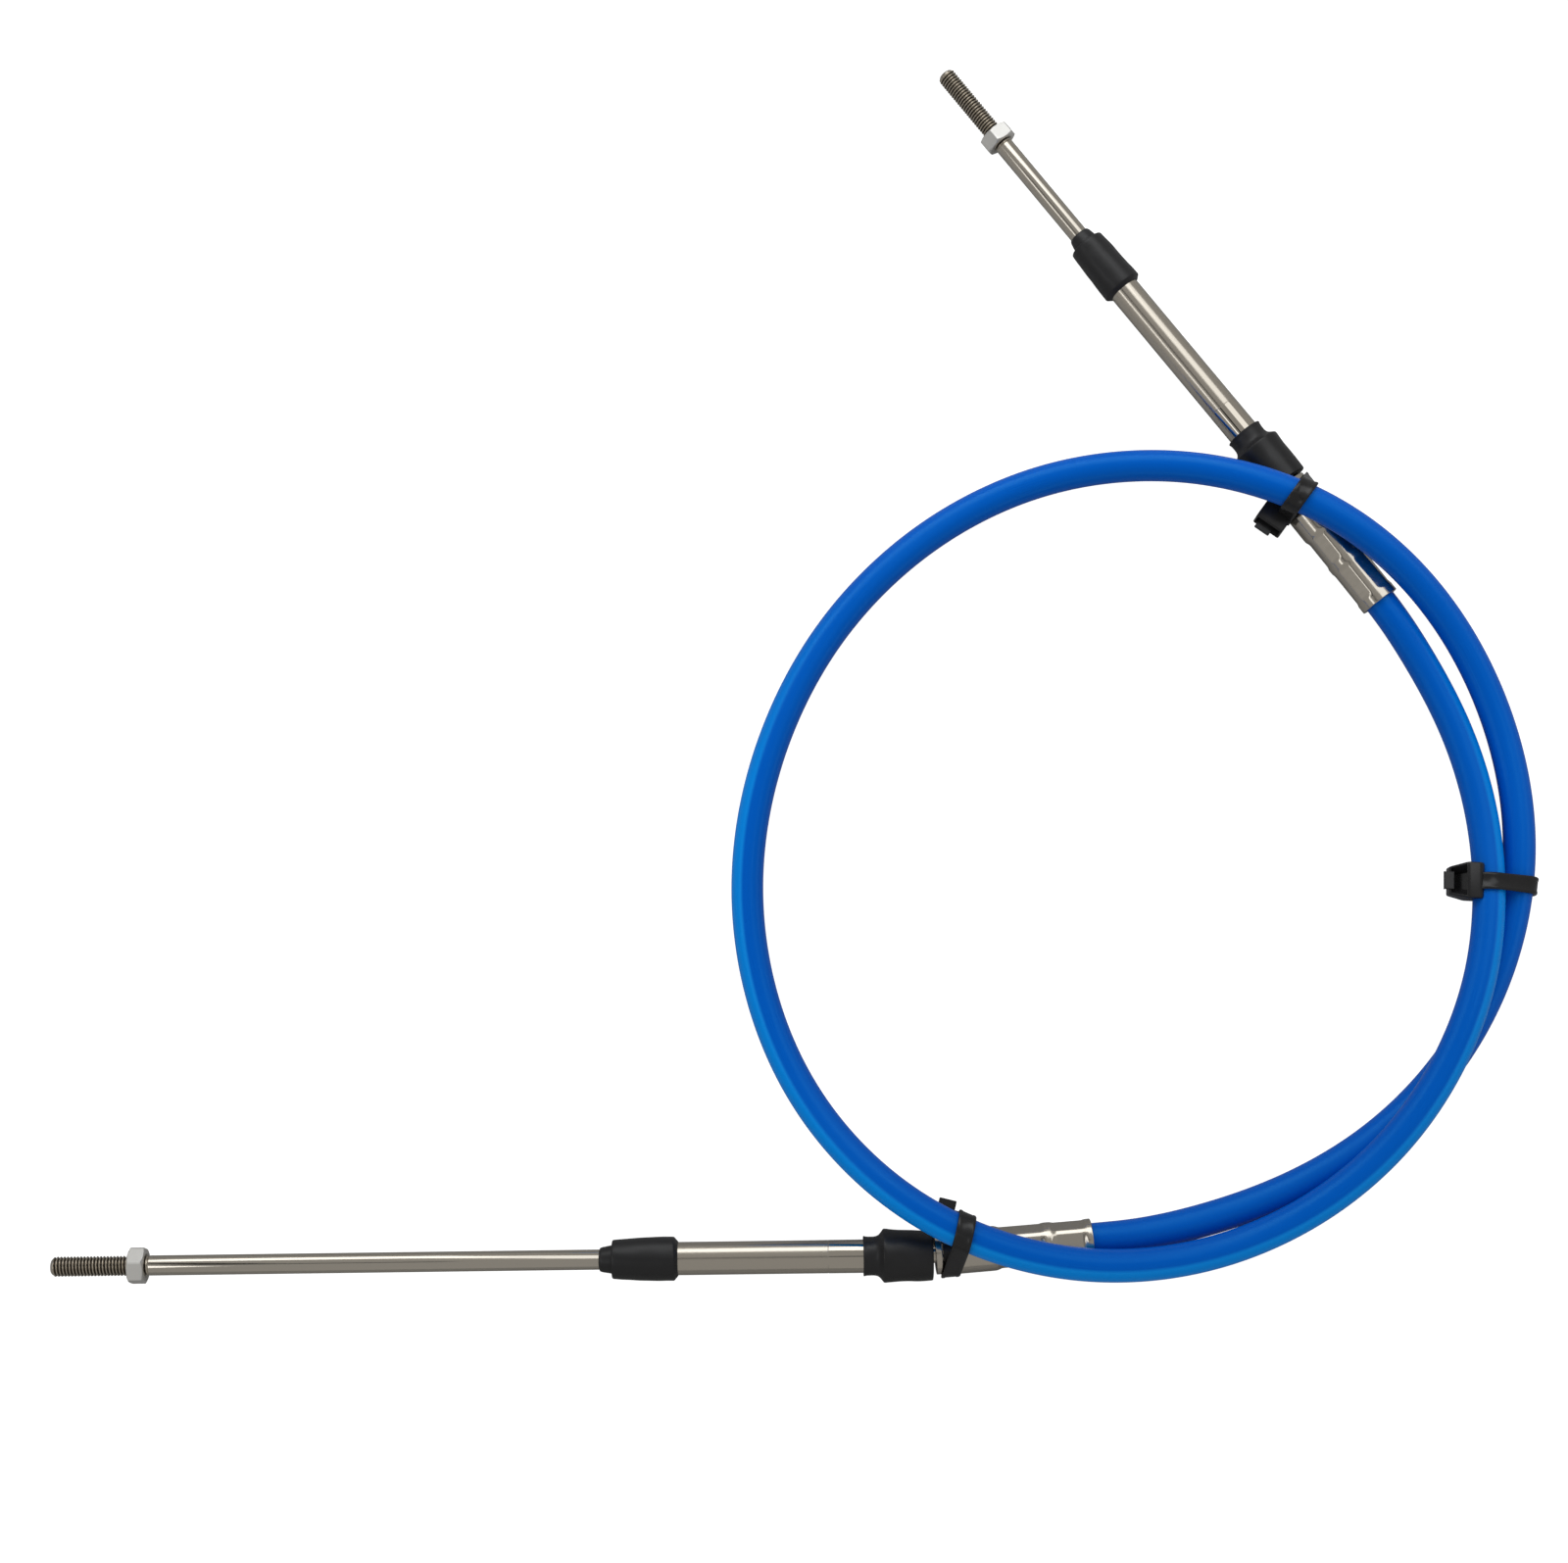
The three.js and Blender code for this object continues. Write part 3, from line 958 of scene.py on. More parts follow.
@dataclass
class RodSide:
    """Everything of one fitting that moves with its sleeve or its rod."""

    fitting: Fitting
    finishes: Finishes
    sides: int = 64

    def build(self) -> list[bpy.types.Object]:
        """Makes the boot, sleeve, seal, rod and nut."""
        return [self.boot(), self.sleeve(), self.seal(), self.rod(), self.nut()]

    def _settle(
        self, piece: bpy.types.Object, finish: bpy.types.Material, body: Body, node: str
    ) -> bpy.types.Object:
        """Dresses a piece, places it, and says what it rides on and stands for."""
        dress(piece, finish)
        piece.matrix_world = self.fitting.rod_matrix()
        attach(piece, body.of(self.fitting.end))
        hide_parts(f"{node}_{self.fitting.end.value}")
        return piece

    def _dents(self, amount: float, size: float) -> Shape:
        """Faint hollows of moulded rubber, as a share of the radius."""
        seed = float(self.fitting.seed) * 7.3

        def share(along: float, angle: float) -> float:
            spot = Vector((along * size, math.cos(angle) * 1.3 + seed, math.sin(angle) * 1.3))
            return 1.0 - amount * (0.5 - 0.5 * noise.noise(spot)) ** 2

        return share

    def boot(self) -> bpy.types.Object:
        """Rubber boot over the swivel, reaching from the swivel to the sleeve."""
        bore = SIZES.sleeve + SIZES.seat_gap
        corners = [
            (-6.7, 5.0),
            (-6.7, 7.55),
            (-2.0, 7.75),
            (4.2, 7.75),
            (7.6, 8.15),
            (8.1, 8.12),
            (8.6, 7.4),
            (9.6, 6.15),
            (10.9, 5.78),
            (13.2, 5.85),
            (14.1, 6.1),
            (14.2, 5.9),
            (14.0, bore),
            (7.5, bore),
            (6.0, 6.4),
            (-5.0, 6.4),
            (-5.0, 5.0),
        ]
        radii = [0, 0.45, 2.5, 2.0, 0.3, 0.3, 0.8, 0.8, 1.2, 0.6, 0.1, 0.1, 0, 0, 0, 0, 0]
        profile = refined(rounded(corners, radii) + [corners[0]], 0.7)[:-1]
        name = f"swivel_boot_{self.fitting.end.value}"
        piece = turned(name, profile, self.sides, self._dents(0.06, 0.16), 50.0)
        dress(piece, self.finishes.rubber)
        piece.matrix_world = self.fitting.rod_matrix()
        matrix = self.fitting.rod_matrix()
        end = self.fitting.end
        Body.SWIVEL.of(end)
        Body.SLEEVE.of(end)
        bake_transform(piece)
        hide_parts(f"boot_{end.value}")
        return piece

    def sleeve(self) -> bpy.types.Object:
        """Steel sleeve tube: a fine seam parts its polished inner band from the drawn tube."""
        end = self.fitting.seal_inner() + SIZES.seal_body - 3.3
        seam = 24.7
        bore = SIZES.rod + 0.12
        outer = SIZES.sleeve
        bell = sphere_arc(6.05, -2.0, math.sqrt(6.05**2 - outer**2), 6)
        socket = sphere_arc(4.7, math.sqrt(4.7**2 - bore**2), -2.0, 6)
        outside = [
            (seam - 0.16, outer),
            (seam - 0.06, outer - 0.07),
            (seam + 0.06, outer - 0.07),
            (seam + 0.16, outer - 0.02),
            (end, outer - 0.02),
            (end, bore),
        ]
        profile = refined(bell + outside, 6.0) + socket
        piece = turned(f"sleeve_tube_{self.fitting.end.value}", profile, self.sides, sharp=15.0)
        return self._settle(piece, self.finishes.sleeve, Body.SLEEVE, "sleeve")

    def seal(self) -> bpy.types.Object:
        """Rubber rod seal, a barrel that tapers to a thin wiping collar."""
        inner = self.fitting.seal_inner()
        step = inner + SIZES.seal_body
        tip = step + SIZES.seal_collar
        bore = SIZES.sleeve + SIZES.seat_gap
        wipe = SIZES.rod + 0.08
        corners = [
            (inner - 0.9, bore),
            (inner - 0.9, 5.2),
            (inner + 0.35, 6.7),
            (inner + 11.0, 6.45),
            (step - 4.0, 6.15),
            (step, 5.85),
            (step, 4.27),
            (step + 0.3, 4.25),
            (tip - 0.6, 3.75),
            (tip, 3.45),
            (tip, wipe),
            (step - 2.9, wipe),
            (step - 2.9, bore),
        ]
        radii = [0, 0.12, 0.3, 2.0, 2.0, 0.6, 0.15, 0.1, 0.5, 0.15, 0, 0, 0]
        profile = refined(rounded(corners, radii) + [corners[0]], 1.0)[:-1]
        name = f"rubber_rod_seal_{self.fitting.end.value}"
        piece = turned(name, profile, self.sides, self._dents(0.06, 0.22), 40.0)
        return self._settle(piece, self.finishes.rubber, Body.SLEEVE, "rod_seal")

    def rod(self) -> bpy.types.Object:
        """Ground rod with a rolled helical thread and a chamfered tip."""
        start = self.fitting.seal_outer() - self.fitting.rod_inside
        thread = self.fitting.nut_start() - 1.2
        tip = self.fitting.nut_start() + SIZES.nut_thickness + self.fitting.thread_shown
        depth = 0.56
        steps = 10
        rings = [[] for _ in range(3)]
        places = [start, start + 0.4, thread]
        for ring, along, radius in zip(rings, places, (SIZES.rod - 0.4, SIZES.rod, SIZES.rod)):
            ring += self._ring(along, lambda angle, radius=radius: radius)
        count = int((tip - thread) * steps / SIZES.thread_pitch)
        for i in range(1, count):
            along = thread + i * SIZES.thread_pitch / steps
            rings.append(
                self._ring(along, lambda angle, along=along: self._thread(along, angle, thread, tip, depth))
            )
            places.append(along)
        rings.append(self._ring(tip, lambda angle: SIZES.rod - 0.95))
        places.append(tip)
        piece = mesh_object(
            f"threaded_rod_{self.fitting.end.value}", skin(rings, True, False, places), 75.0
        )
        piece = self._settle(piece, self.finishes.rod, Body.ROD, "rod")
        piece.data.materials.append(self.finishes.thread)
        # the third material is painted shade: faces deep in the thread's grooves take it
        piece.data.materials.append(self.finishes.root)
        for face in piece.data.polygons:
            deep = math.hypot(face.center.y, face.center.z) < SIZES.rod - 0.3
            threaded = thread < face.center.x < tip - 1.0
            face.material_index = (2 if deep else 1) if threaded else 0
        return piece

    def _ring(self, along: float, reach: Callable[[float], float]) -> list[Vector]:
        """One ring of the rod."""
        ring = []
        for side in range(48):
            angle = 2.0 * math.pi * side / 48
            radius = reach(angle)
            ring.append(Vector((along, radius * math.cos(angle), radius * math.sin(angle))))
        return ring

    @staticmethod
    def _thread(along: float, angle: float, start: float, tip: float, depth: float) -> float:
        """Radius of a right-hand thread, which runs out at its start and at the chamfered tip.

        Args:
            along: Place along the rod.
            angle: Angle around it.
            start: Where the thread begins.
            tip: Where the rod ends.
            depth: Depth of the groove.

        Returns:
            The radius there.
        """
        turns = (along - start) / SIZES.thread_pitch - angle / (2.0 * math.pi)
        phase = abs((turns % 1.0) - 0.5) * 2.0
        groove = min(max((phase - 0.12) / 0.76, 0.0), 1.0)
        fade = smoothstep(start, start + 1.0, along)
        chamfer = SIZES.rod - max(0.0, along - (tip - 0.9)) * 1.05
        return min(SIZES.rod - depth * groove * fade, chamfer)

    def nut(self) -> bpy.types.Object:
        """Hexagon jam nut with turned corner chamfers and a countersunk bore."""
        half = SIZES.nut_thickness / 2.0
        flat = SIZES.nut_flats / 2.0
        bore = SIZES.rod + 0.1
        middle = self.fitting.nut_start() + half
        turn = math.radians(90.0 + self.fitting.nut_turn)
        slope = math.tan(math.radians(28.0))
        sides = 96
        rings = []
        places = []
        levels = [half * share for share in (-1.0, -0.93, -0.86, -0.79, -0.7, 0.7, 0.79, 0.86, 0.93, 1.0)]
        for along in levels:
            ring = []
            for side in range(sides):
                angle = 2.0 * math.pi * side / sides
                nearest = (angle - turn + math.pi / 6.0) % (math.pi / 3.0) - math.pi / 6.0
                hexed = flat / math.cos(math.pi / 6.0 - abs(nearest))
                cone = flat * 0.955 + (half - abs(along)) / slope
                radius = min(hexed, cone)
                ring.append(Vector((middle + along, radius * math.cos(angle), radius * math.sin(angle))))
            rings.append(ring)
            places.append(along)
        sink = 0.5
        mouths = ((half, bore + sink), (half - sink, bore), (-half + sink, bore), (-half, bore + sink))
        for along, radius in mouths:
            ring = []
            for side in range(sides):
                angle = 2.0 * math.pi * side / sides
                ring.append(Vector((middle + along, radius * math.cos(angle), radius * math.sin(angle))))
            rings.append(ring)
            places.append(along)
        piece = mesh_object(f"jam_nut_{self.fitting.end.value}", skin(rings, False, True, places), 24.0)
        return self._settle(piece, self.finishes.nut, Body.ROD, "nut")


@dataclass
class Hub:
    """Crimped steel hub: ball nose, ring and groove, body, two hexagon crimps and a flared mouth."""

    fitting: Fitting
    finishes: Finishes
    sides: int = 96

    def build(self) -> bpy.types.Object:
        """Makes the hub."""
        mouth = SIZES.jacket + 0.12
        end = SIZES.hub_length
        corners = [
            (SIZES.hub_ring_start, 2.8),
            (SIZES.hub_ring_start, 6.3),
            (SIZES.hub_ring_end, 6.3),
            (SIZES.hub_ring_end + 0.2, 5.4),
            (SIZES.hub_groove_end - 0.3, 5.4),
            (SIZES.hub_groove_end, SIZES.hub_body),
            (25.4, SIZES.hub_body),
            (27.0, 6.35),
            (end - 4.4, 6.3),
            (end - 1.6, 6.3),
            (end - 0.15, 6.34),
            (end, 6.15),
            (end - 0.1, mouth + 0.25),
            (end - 0.9, mouth),
            (end - SIZES.mouth_depth, mouth),
        ]
        radii = [0, 0.25, 0.25, 0.2, 0.3, 0.5, 0.8, 0.8, 1.5, 1.0, 0.1, 0.1, 0.1, 0.2, 0]
        shell = refined(rounded(corners, radii), 0.3)
        ball = sphere_arc(4.4, -4.4, math.sqrt(4.4**2 - 2.8**2), 10)
        profile = [(-4.4, 0.0)] + ball[1:] + shell + [(end - SIZES.mouth_depth, 0.0)]
        name = f"crimped_hub_{self.fitting.end.value}"
        piece = turned(name, profile, self.sides, self._crimp, 28.0)
        dress(piece, self.finishes.hub)
        # the groove's faces take the painted shade
        piece.data.materials.append(self.finishes.groove)
        groove = (SIZES.hub_ring_end + 0.3, SIZES.hub_groove_end - 0.4)
        for face in piece.data.polygons:
            face.material_index = int(groove[0] < face.center.x < groove[1])
        piece.matrix_world = self.fitting.hub_matrix()
        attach(piece, Body.CABLE.value)
        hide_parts(f"hub_{self.fitting.end.value}")
        return piece

    def _crimp(self, along: float, angle: float) -> float:
        """Share of the radius left by the crimping dies at a place."""
        if along < 20.0 or along > SIZES.hub_length - 1.0:
            return 1.0
        ridge = self.fitting.ridge_at
        first = band(25.6, ridge - 0.6, 1.7, along)
        second = band(ridge + 0.8, self.fitting.flare_at, 1.7, along)
        turn = math.radians(self.fitting.crimp_turn)
        nearest = (angle - turn + math.pi / 6.0) % (math.pi / 3.0) - math.pi / 6.0
        pressed = min(self.fitting.crimp_flat / math.cos(nearest), self.fitting.crimp_corner)
        full = 6.32
        return 1.0 + max(first, second) * (pressed / full - 1.0)


# The ties


@dataclass(frozen=True)
class Strand:
    """A straight stretch of what a tie holds: a point on its axis, its direction and its radius."""

    place: Vector
    direction: Vector
    radius: float


@dataclass(frozen=True)
class HubTieStyle:
    """How a tie sits at a hub: where its head and its tail are and how large they are."""

    name: str
    heading: float
    head_side: float
    wide: float
    deep: float
    inset: float
    tail_reach: float
    head_shift: float
    tail_shift: float
    set_back: float


@dataclass
class CableTie:
    """A moulded nylon tie: strap around its strands, head on one side and the cut tail in it."""

    name: str
    node: str
    place: tuple[float, float]
    heading: float
    head_side: float
    head_height: float
    finish: bpy.types.Material
    wide: float
    deep: float
    tail_reach: float
    head_shift: float = 0.0
    tail_shift: float = 0.0
    inset: float = 2.3
    high: float = 8.2
    slope: float = 0.0

    def __post_init__(self) -> None:
        """Works out the tie's own axes."""
        angle = math.radians(self.heading)
        self.through = Vector((math.cos(angle), math.sin(angle), 0.0))
        self.across = Vector((0.0, 0.0, 1.0)).cross(self.through)
        self.centre = Vector((self.place[0], self.place[1], 0.0))

    def crossings(self, path: np.ndarray, reach: float) -> list[Strand]:
        """The stretches of the jacket that pass through the tie near its middle."""
        found = []
        for before, after in zip(path, path[1:]):
            first = Vector(before) - self.centre
            second = Vector(after) - self.centre
            near = math.hypot(first.x, first.y) < reach
            if near and first.dot(self.through) * second.dot(self.through) <= 0.0:
                heading = (Vector(after) - Vector(before)).normalized()
                found.append(Strand(Vector(after), heading, SIZES.jacket))
        return found

    def _outline(self, strands: Sequence[Strand], station: float, gap: float, count: int) -> list[Vector]:
        """Closed line that hugs the strands at a station across the strap's width.

        Args:
            strands: What the tie holds.
            station: Place across the strap's width.
            gap: Distance from the strands.
            count: Points in the line.

        Returns:
            Points of the line as (across, up), evenly spaced, from the top.
        """
        circles = []
        for strand in strands:
            offset = strand.place - self.centre
            headway = strand.direction.dot(self.through)
            share = (station - offset.dot(self.through)) / headway
            spot = offset + strand.direction * share
            circles.append((Vector((spot.dot(self.across), spot.z)), strand.radius + gap))
        hull = []
        for i in range(720):
            angle = math.pi / 2.0 - 2.0 * math.pi * i / 720
            normal = Vector((math.cos(angle), math.sin(angle)))
            centre, radius = max(circles, key=lambda item: item[0].dot(normal) + item[1])
            hull.append(centre + normal * radius)
        hull.append(hull[0])
        lengths = np.array([(b - a).length for a, b in zip(hull, hull[1:])])
        places = np.concatenate(([0.0], np.cumsum(lengths)))
        wanted = np.linspace(0.0, places[-1], count, endpoint=False)
        xs = np.interp(wanted, places, [point.x for point in hull])
        ys = np.interp(wanted, places, [point.y for point in hull])
        return [Vector((x, y)) for x, y in zip(xs, ys)]

    def _world(self, across: float, up: float, through: float) -> Vector:
        """A place in the tie's axes, in metres."""
        place = self.centre + self.across * across + self.through * through
        return Vector((place.x, place.y, up)) * MM

    def build(self, strands: Sequence[Strand]) -> bpy.types.Object:
        """Makes the tie around its strands.

        Args:
            strands: What the tie holds.

        Returns:
            The tie as one piece.
        """
        strap = self._strap(strands)
        edge = self._edge(strands)
        parts = [strap, self._carved(self._head(edge), strands), self._tail(edge)]
        with bpy.context.temp_override(
            active_object=strap, object=strap, selected_editable_objects=parts, selected_objects=parts
        ):
            bpy.ops.object.join()
        strap.name = self.name
        dress(strap, self.finish)
        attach(strap, Body.CABLE.value)
        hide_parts(self.node)
        return strap

    def _edge(self, strands: Sequence[Strand]) -> float:
        """How far the strap reaches toward the head at the head's height."""
        outline = self._outline(strands, 0.0, SIZES.tie_thickness + 0.1, 400)
        near = [point.x for point in outline if abs(point.y - self.head_height) < 1.0]
        return self.head_side * (max(self.head_side * x for x in near) - self.inset)

    def _strap(self, strands: Sequence[Strand]) -> bpy.types.Object:
        """The strap: a thin flat band with soft edges and a shallow channel along its outside."""
        half = SIZES.tie_width / 2.0
        thick = SIZES.tie_thickness
        section = [
            (-half + 0.25, 0.1),
            (-half, 0.35),
            (-half, thick - 0.15),
            (-half + 0.3, thick + 0.1),
            (-half + 0.9, thick + 0.1),
            (-half + 1.15, thick - 0.05),
            (half - 1.15, thick - 0.05),
            (half - 0.9, thick + 0.1),
            (half - 0.3, thick + 0.1),
            (half, thick - 0.15),
            (half, 0.35),
            (half - 0.25, 0.1),
        ]
        count = 220
        columns = [self._outline(strands, station, gap, count) for station, gap in section]
        rings = []
        for i in range(count):
            ring = []
            for column, (station, _) in zip(columns, section):
                ring.append(self._world(column[i].x, column[i].y, station))
            rings.append(ring)
        run = [float(i) for i in range(count)]
        return mesh_object(self.name + "_strap", skin(rings, False, True, run), 50.0)

    def _head_profile(self) -> Profile:
        """The head's side outline as (outward, up) from its inner face and its middle height."""
        half = self.high / 2.0
        if self.slope <= 0.0:
            return [(0.0, -half), (0.0, half), (self.deep, half * 0.92), (self.deep, -half * 0.92)]
        shoulder = self.deep - self.slope
        return [
            (0.0, -half),
            (0.0, half - 1.3),
            (1.3, half),
            (shoulder, half),
            (self.deep, half - self.slope * 0.75),
            (self.deep, -half),
            (shoulder, -half),
        ]

    def _head(self, edge: float) -> bpy.types.Object:
        """The head: a rounded block with an open pocket on its outer face, where the tail comes out."""
        side = self.head_side
        start = edge - side * 0.6
        shape = bmesh.new()
        ends = []
        for place in (self.head_shift - self.wide / 2.0, self.head_shift + self.wide / 2.0):
            ends.append([
                shape.verts.new(self._world(start + side * outward, self.head_height + up, place))
                for outward, up in self._head_profile()
            ])
        near, far = ends
        if self.slope > 0.0:
            for verts, inward in ((near, 1.0), (far, -1.0)):
                for vert in verts[4:6]:
                    vert.co += self.through * (inward * 1.3 * MM)
        for verts in (near, far):
            shape.faces.new([verts[i] for i in (0, 1, 2, 3, 6) if i < len(verts)])
            if self.slope > 0.0:
                shape.faces.new([verts[i] for i in (6, 3, 4, 5)])
        walls = []
        for i in range(len(near)):
            after = (i + 1) % len(near)
            walls.append(shape.faces.new((near[i], far[i], far[after], near[after])))
        bmesh.ops.recalc_face_normals(shape, faces=shape.faces)
        outer = walls[3] if self.slope > 0.0 else walls[2]
        crisp = list(shape.edges)
        bmesh.ops.inset_region(shape, faces=[outer], thickness=(1.0 if self.slope > 0.0 else 1.9) * MM)
        middle = outer.calc_center_median()
        window = (SIZES.tie_width + 0.3) * MM
        wide = max((vert.co - middle).dot(self.through) for vert in outer.verts) * 2.0
        for vert in outer.verts:
            aside = (vert.co - middle).dot(self.through)
            vert.co += self.through * (aside * (min(window / wide, 1.0) - 1.0))
            vert.co += outer.normal * (-3.4 * MM)
        bmesh.ops.bevel(
            shape, geom=crisp, offset=0.6 * MM, segments=3, affect="EDGES", profile=0.6, clamp_overlap=True
        )
        return mesh_object(self.name + "_head", shape, 40.0)

    def _carved(self, head: bpy.types.Object, strands: Sequence[Strand]) -> bpy.types.Object:
        """Hollows the head's underside where it sits over the strands.

        Args:
            head: The whole head.
            strands: What the tie holds.

        Returns:
            The same head with the hollows.
        """
        for strand in strands:
            shape = bmesh.new()
            radius = (strand.radius + 0.06) * MM
            turn = strand.direction.to_track_quat("Z", "Y").to_matrix().to_4x4()
            bmesh.ops.create_cone(
                shape, cap_ends=True, segments=64, radius1=radius, radius2=radius, depth=60.0 * MM,
                matrix=Matrix.Translation(strand.place * MM) @ turn,
            )
            cutter = mesh_object(self.name + "_cutter", shape)
            modifier = head.modifiers.new("hollow", "BOOLEAN")
            modifier.object = cutter
            modifier.operation = "DIFFERENCE"
            modifier.solver = "EXACT"
            graph = bpy.context.evaluated_depsgraph_get()
            head.data = bpy.data.meshes.new_from_object(head.evaluated_get(graph))
            head.modifiers.clear()
            bpy.data.objects.remove(cutter)
        mark_sharp(head.data, 40.0)
        return head

    def _tail(self, edge: float) -> bpy.types.Object:
        """The cut end of the strap, a small block with softened edges."""
        side = self.head_side
        shape = bmesh.new()
        bmesh.ops.create_cube(shape, size=1.0)
        for vert in shape.verts:
            outward = (vert.co.x + 0.5) * (self.tail_reach + 0.8) - 2.0
            across = edge + side * (self.deep + outward)
            up = self.head_height + vert.co.y * 1.3
            through = self.tail_shift + vert.co.z * SIZES.tie_width
            vert.co = self._world(across, up, through)
        bmesh.ops.bevel(shape, geom=list(shape.edges), offset=0.15 * MM, segments=2, affect="EDGES")
        return mesh_object(self.name + "_tail", shape, 60.0)


# The studio


@dataclass(frozen=True)
class SoftBox:
    """A soft box facing down, its long side along a heading."""

    name: str
    place: tuple[float, float, float]
    heading: float
    size: tuple[float, float]
    radiance: float


@dataclass(frozen=True)
class Card:
    """A level black card overhead that only the steel's reflections show."""

    name: str
    place: tuple[float, float, float]
    heading: float
    size: tuple[float, float]
    glow: float


def area_lamp(name: str, size: tuple[float, float], radiance: float) -> bpy.types.Object:
    """A rectangular lamp of this size in metres, not yet placed."""
    data = bpy.data.lights.new(name, "AREA")
    data.shape = "RECTANGLE"
    data.size, data.size_y = size
    data.energy = radiance * math.pi * size[0] * size[1]
    lamp = bpy.data.objects.new(name, data)
    bpy.context.collection.objects.link(lamp)
    return lamp


@dataclass
class Studio:
    """Camera, floor and lights."""

    surround: float = 0.36
    floor_glow: float = 0.96
    boxes: tuple[SoftBox, ...] = (
        SoftBox("upper", (-0.25, 0.94, 0.6), 0.0, (0.95, 1.15), 1.65),
        SoftBox("right", (0.29, 0.44, 0.6), 127.0, (0.8, 0.54), 1.05),
        SoftBox("low", (-0.58, -0.2, 0.55), 127.0, (0.6, 0.22), 1.5),
    )
    cards: tuple[Card, ...] = (
        Card("card_a", (-0.2, -0.19, 0.8), 0.0, (0.62, 0.11), 0.14),
        Card("card_b", (-0.42, 0.0, 0.8), 127.0, (0.4, 0.13), 0.0),
    )
    rim_count: int = 8
    rim_reach: float = 0.275
    rim_height: float = 0.125
    rim_size: tuple[float, float] = (0.22, 0.09)
    rim_radiance: float = 0.75
    rim_turn: float = 0.15
    box_colour: tuple[float, float, float] = (0.96, 0.98, 1.0)
    surround_colour: Colour = (1.0, 0.985, 0.96, 1.0)
    floor_colour: Colour = (0.42, 0.42, 0.42, 1.0)
    floor_half_size: float = 3.0
    floor_drop: float = 0.0003
    card_colour: Colour = (0.02, 0.02, 0.02, 1.0)
    glow_colour: Colour = (1.0, 1.0, 1.0, 1.0)
    sensor_mm: float = 36.0
    focal_px: float = 2600.0
    image_width_px: float = 1600.0
    scale_px_per_mm: float = 3.25
    tilt: float = math.radians(10.315)
    aim: tuple[float, float] = (-6.5, -40.95)

    def camera(self) -> None:
        """Places the camera above the cable, a little toward its near side."""
        data = bpy.data.cameras.new("camera")
        data.sensor_width = self.sensor_mm
        data.lens = self.sensor_mm * self.focal_px / self.image_width_px
        camera = bpy.data.objects.new("camera", data)
        bpy.context.collection.objects.link(camera)
        distance = self.focal_px / self.scale_px_per_mm
        back = Vector((0.0, -math.sin(self.tilt), math.cos(self.tilt)))
        camera.location = (Vector((self.aim[0], self.aim[1], 0.0)) + back * distance) * MM
        camera.rotation_euler = (self.tilt, 0.0, 0.0)
        bpy.context.scene.camera = camera

    def floor(self) -> None:
        """A plain white sweep: bright to the eye, duller in what the steel reflects."""
        shape = bmesh.new()
        bmesh.ops.create_grid(shape, x_segments=1, y_segments=1, size=self.floor_half_size)
        floor = mesh_object("floor", shape)
        floor.location.z = -self.floor_drop
        material, nodes, shader = new_material("floor_white")
        shader.inputs["Base Color"].default_value = self.floor_colour
        shader.inputs["Roughness"].default_value = 0.9
        shader.inputs["Specular IOR Level"].default_value = 0.1
        shader.inputs["Emission Color"].default_value = self.glow_colour
        seen = nodes.add("ShaderNodeLightPath").outputs["Is Camera Ray"]
        glow = nodes.math("MULTIPLY", seen, self.floor_glow)
        material.node_tree.links.new(glow, shader.inputs["Emission Strength"])
        dress(floor, material)

    def overhead_cards(self) -> None:
        """Dark things above the table, as long thin lines in the tubes."""
        for card in self.cards:
            material, _, shader = new_material(card.name)
            shader.inputs["Base Color"].default_value = self.card_colour
            shader.inputs["Specular IOR Level"].default_value = 0.0
            shader.inputs["Emission Color"].default_value = self.glow_colour
            shader.inputs["Emission Strength"].default_value = card.glow
            shape = bmesh.new()
            bmesh.ops.create_grid(shape, x_segments=1, y_segments=1, size=0.5)
            for vert in shape.verts:
                vert.co.x *= card.size[0]
                vert.co.y *= card.size[1]
            piece = mesh_object(card.name, shape)
            piece.location = card.place
            piece.rotation_euler.z = math.radians(card.heading)
            piece.visible_camera = False
            piece.visible_diffuse = False
            piece.visible_shadow = False
            dress(piece, material)

    def rim_lights(self, jacket: bpy.types.Object) -> None:
        """A ring of low panels outside the loop that light the jacket's outer flank.

        Args:
            jacket: The only piece they light.
        """
        lit = bpy.data.collections.new("rim_lit")
        lit.objects.link(jacket)
        for index in range(self.rim_count):
            angle = 2.0 * math.pi * index / self.rim_count
            lamp = area_lamp(f"rim_{index}", self.rim_size, self.rim_radiance)
            middle = Vector((*LOOP_MIDDLE, 0.0)) * MM
            outward = Vector((math.cos(angle), math.sin(angle), 0.0))
            lamp.location = middle + outward * self.rim_reach + Vector((0.0, 0.0, self.rim_height))
            aim = Vector((outward.x * self.rim_turn, outward.y * self.rim_turn, self.rim_height))
            lamp.rotation_euler = aim.to_track_quat("Z", "Y").to_euler()
            lamp.visible_camera = False
            lamp.light_linking.receiver_collection = lit

    def lights(self) -> None:
        """Soft boxes and a dim even surround."""
        for box in self.boxes:
            lamp = area_lamp(box.name, box.size, box.radiance)
            lamp.data.color = self.box_colour
            lamp.location = box.place
            lamp.rotation_euler.z = math.radians(box.heading)
        world = bpy.data.worlds.new("studio")
        bpy.context.scene.world = world
        world.use_nodes = True
        background = world.node_tree.nodes["Background"]
        background.inputs[0].default_value = self.surround_colour
        background.inputs[1].default_value = self.surround

    def build(self) -> None:
        """Sets up everything that isn't the cable."""
        self.camera()
        self.floor()
        self.overhead_cards()
        self.lights()
        bpy.context.scene.view_settings.view_transform = "Standard"


def corners(box: tuple[Vector, Vector]) -> list[list[float]]:
    """A box as plain lists."""
    return [list(box[0]), list(box[1])]


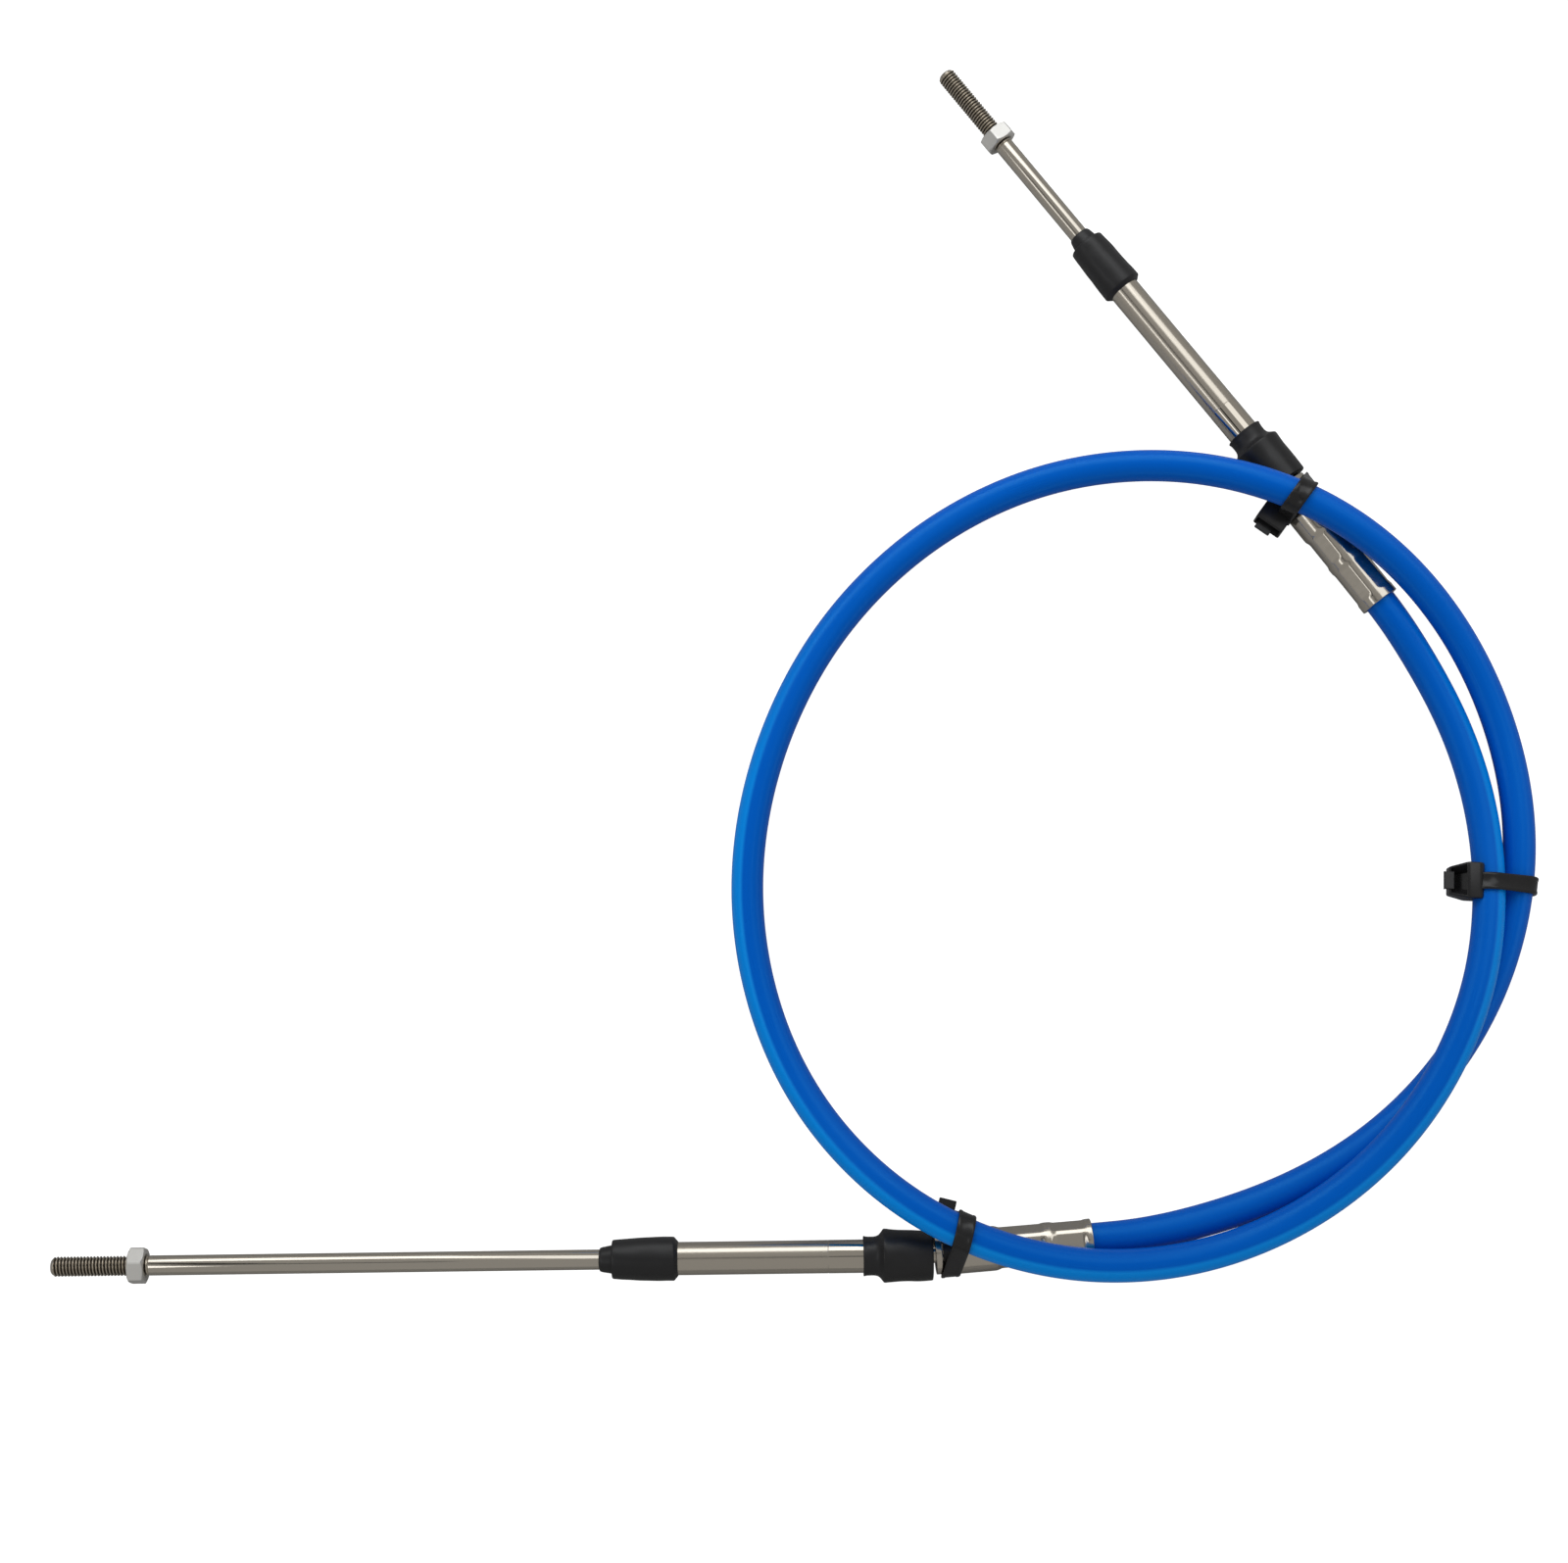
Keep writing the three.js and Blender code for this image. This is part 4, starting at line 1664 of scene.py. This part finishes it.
def main() -> None:
    """Builds the cable piece by piece around its frame."""
    logging.basicConfig(level=logging.INFO, format="%(name)s: %(message)s")
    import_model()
    studio = Studio()
    studio.build()
    finishes = Finishes()
    jacket = Jacket()
    pieces = [jacket.build(finishes.jacket)]
    studio.rim_lights(pieces[0])
    for fitting in (FITTING_A, FITTING_B):
        pieces.append(Hub(fitting, finishes).build())
        pieces += RodSide(fitting, finishes).build()
    reach = 3.0 * SIZES.jacket
    hub_ties = (
        (FITTING_A, HubTieStyle(
            name="a",
            heading=-13.8,
            head_side=1.0,
            wide=8.4,
            deep=6.0,
            inset=2.3,
            tail_reach=3.4,
            head_shift=-4.6,
            tail_shift=-5.9,
            set_back=0.75,
        )),
        (FITTING_B, HubTieStyle(
            name="b",
            heading=-36.0,
            head_side=-1.0,
            wide=9.6,
            deep=7.4,
            inset=1.6,
            tail_reach=2.8,
            head_shift=-2.6,
            tail_shift=-3.4,
            set_back=0.0,
        )),
    )
    for fitting, style in hub_ties:
        place = fitting.along_hub(fitting.tie_at - style.set_back)
        tie = CableTie(
            name=f"cable_tie_{style.name}",
            node=f"tie_{style.name}",
            place=(place.x, place.y),
            heading=style.heading,
            head_side=style.head_side,
            head_height=8.5,
            finish=finishes.nylon,
            wide=style.wide,
            deep=style.deep,
            tail_reach=style.tail_reach,
            head_shift=style.head_shift,
            tail_shift=style.tail_shift,
            inset=style.inset,
        )
        hub = Strand(place, fitting.hub_direction(), SIZES.hub_body)
        pieces.append(tie.build([hub, *tie.crossings(jacket.path, reach)]))
    loop_tie = CableTie(
        name="cable_tie_c",
        node="tie_c",
        place=(216.4, -74.95),
        heading=87.3,
        head_side=1.0,
        head_height=12.4,
        finish=finishes.nylon,
        wide=11.2,
        deep=10.2,
        tail_reach=2.1,
        inset=3.2,
        slope=5.1,
    )
    pieces.append(loop_tie.build(loop_tie.crossings(jacket.path, reach)))
    for piece in pieces:
        LOG.info("%s: %d faces", piece.name, len(piece.data.polygons))
    LOG.info("jacket length %.3f m", jacket.length())


if __name__ == "__main__":
    main()
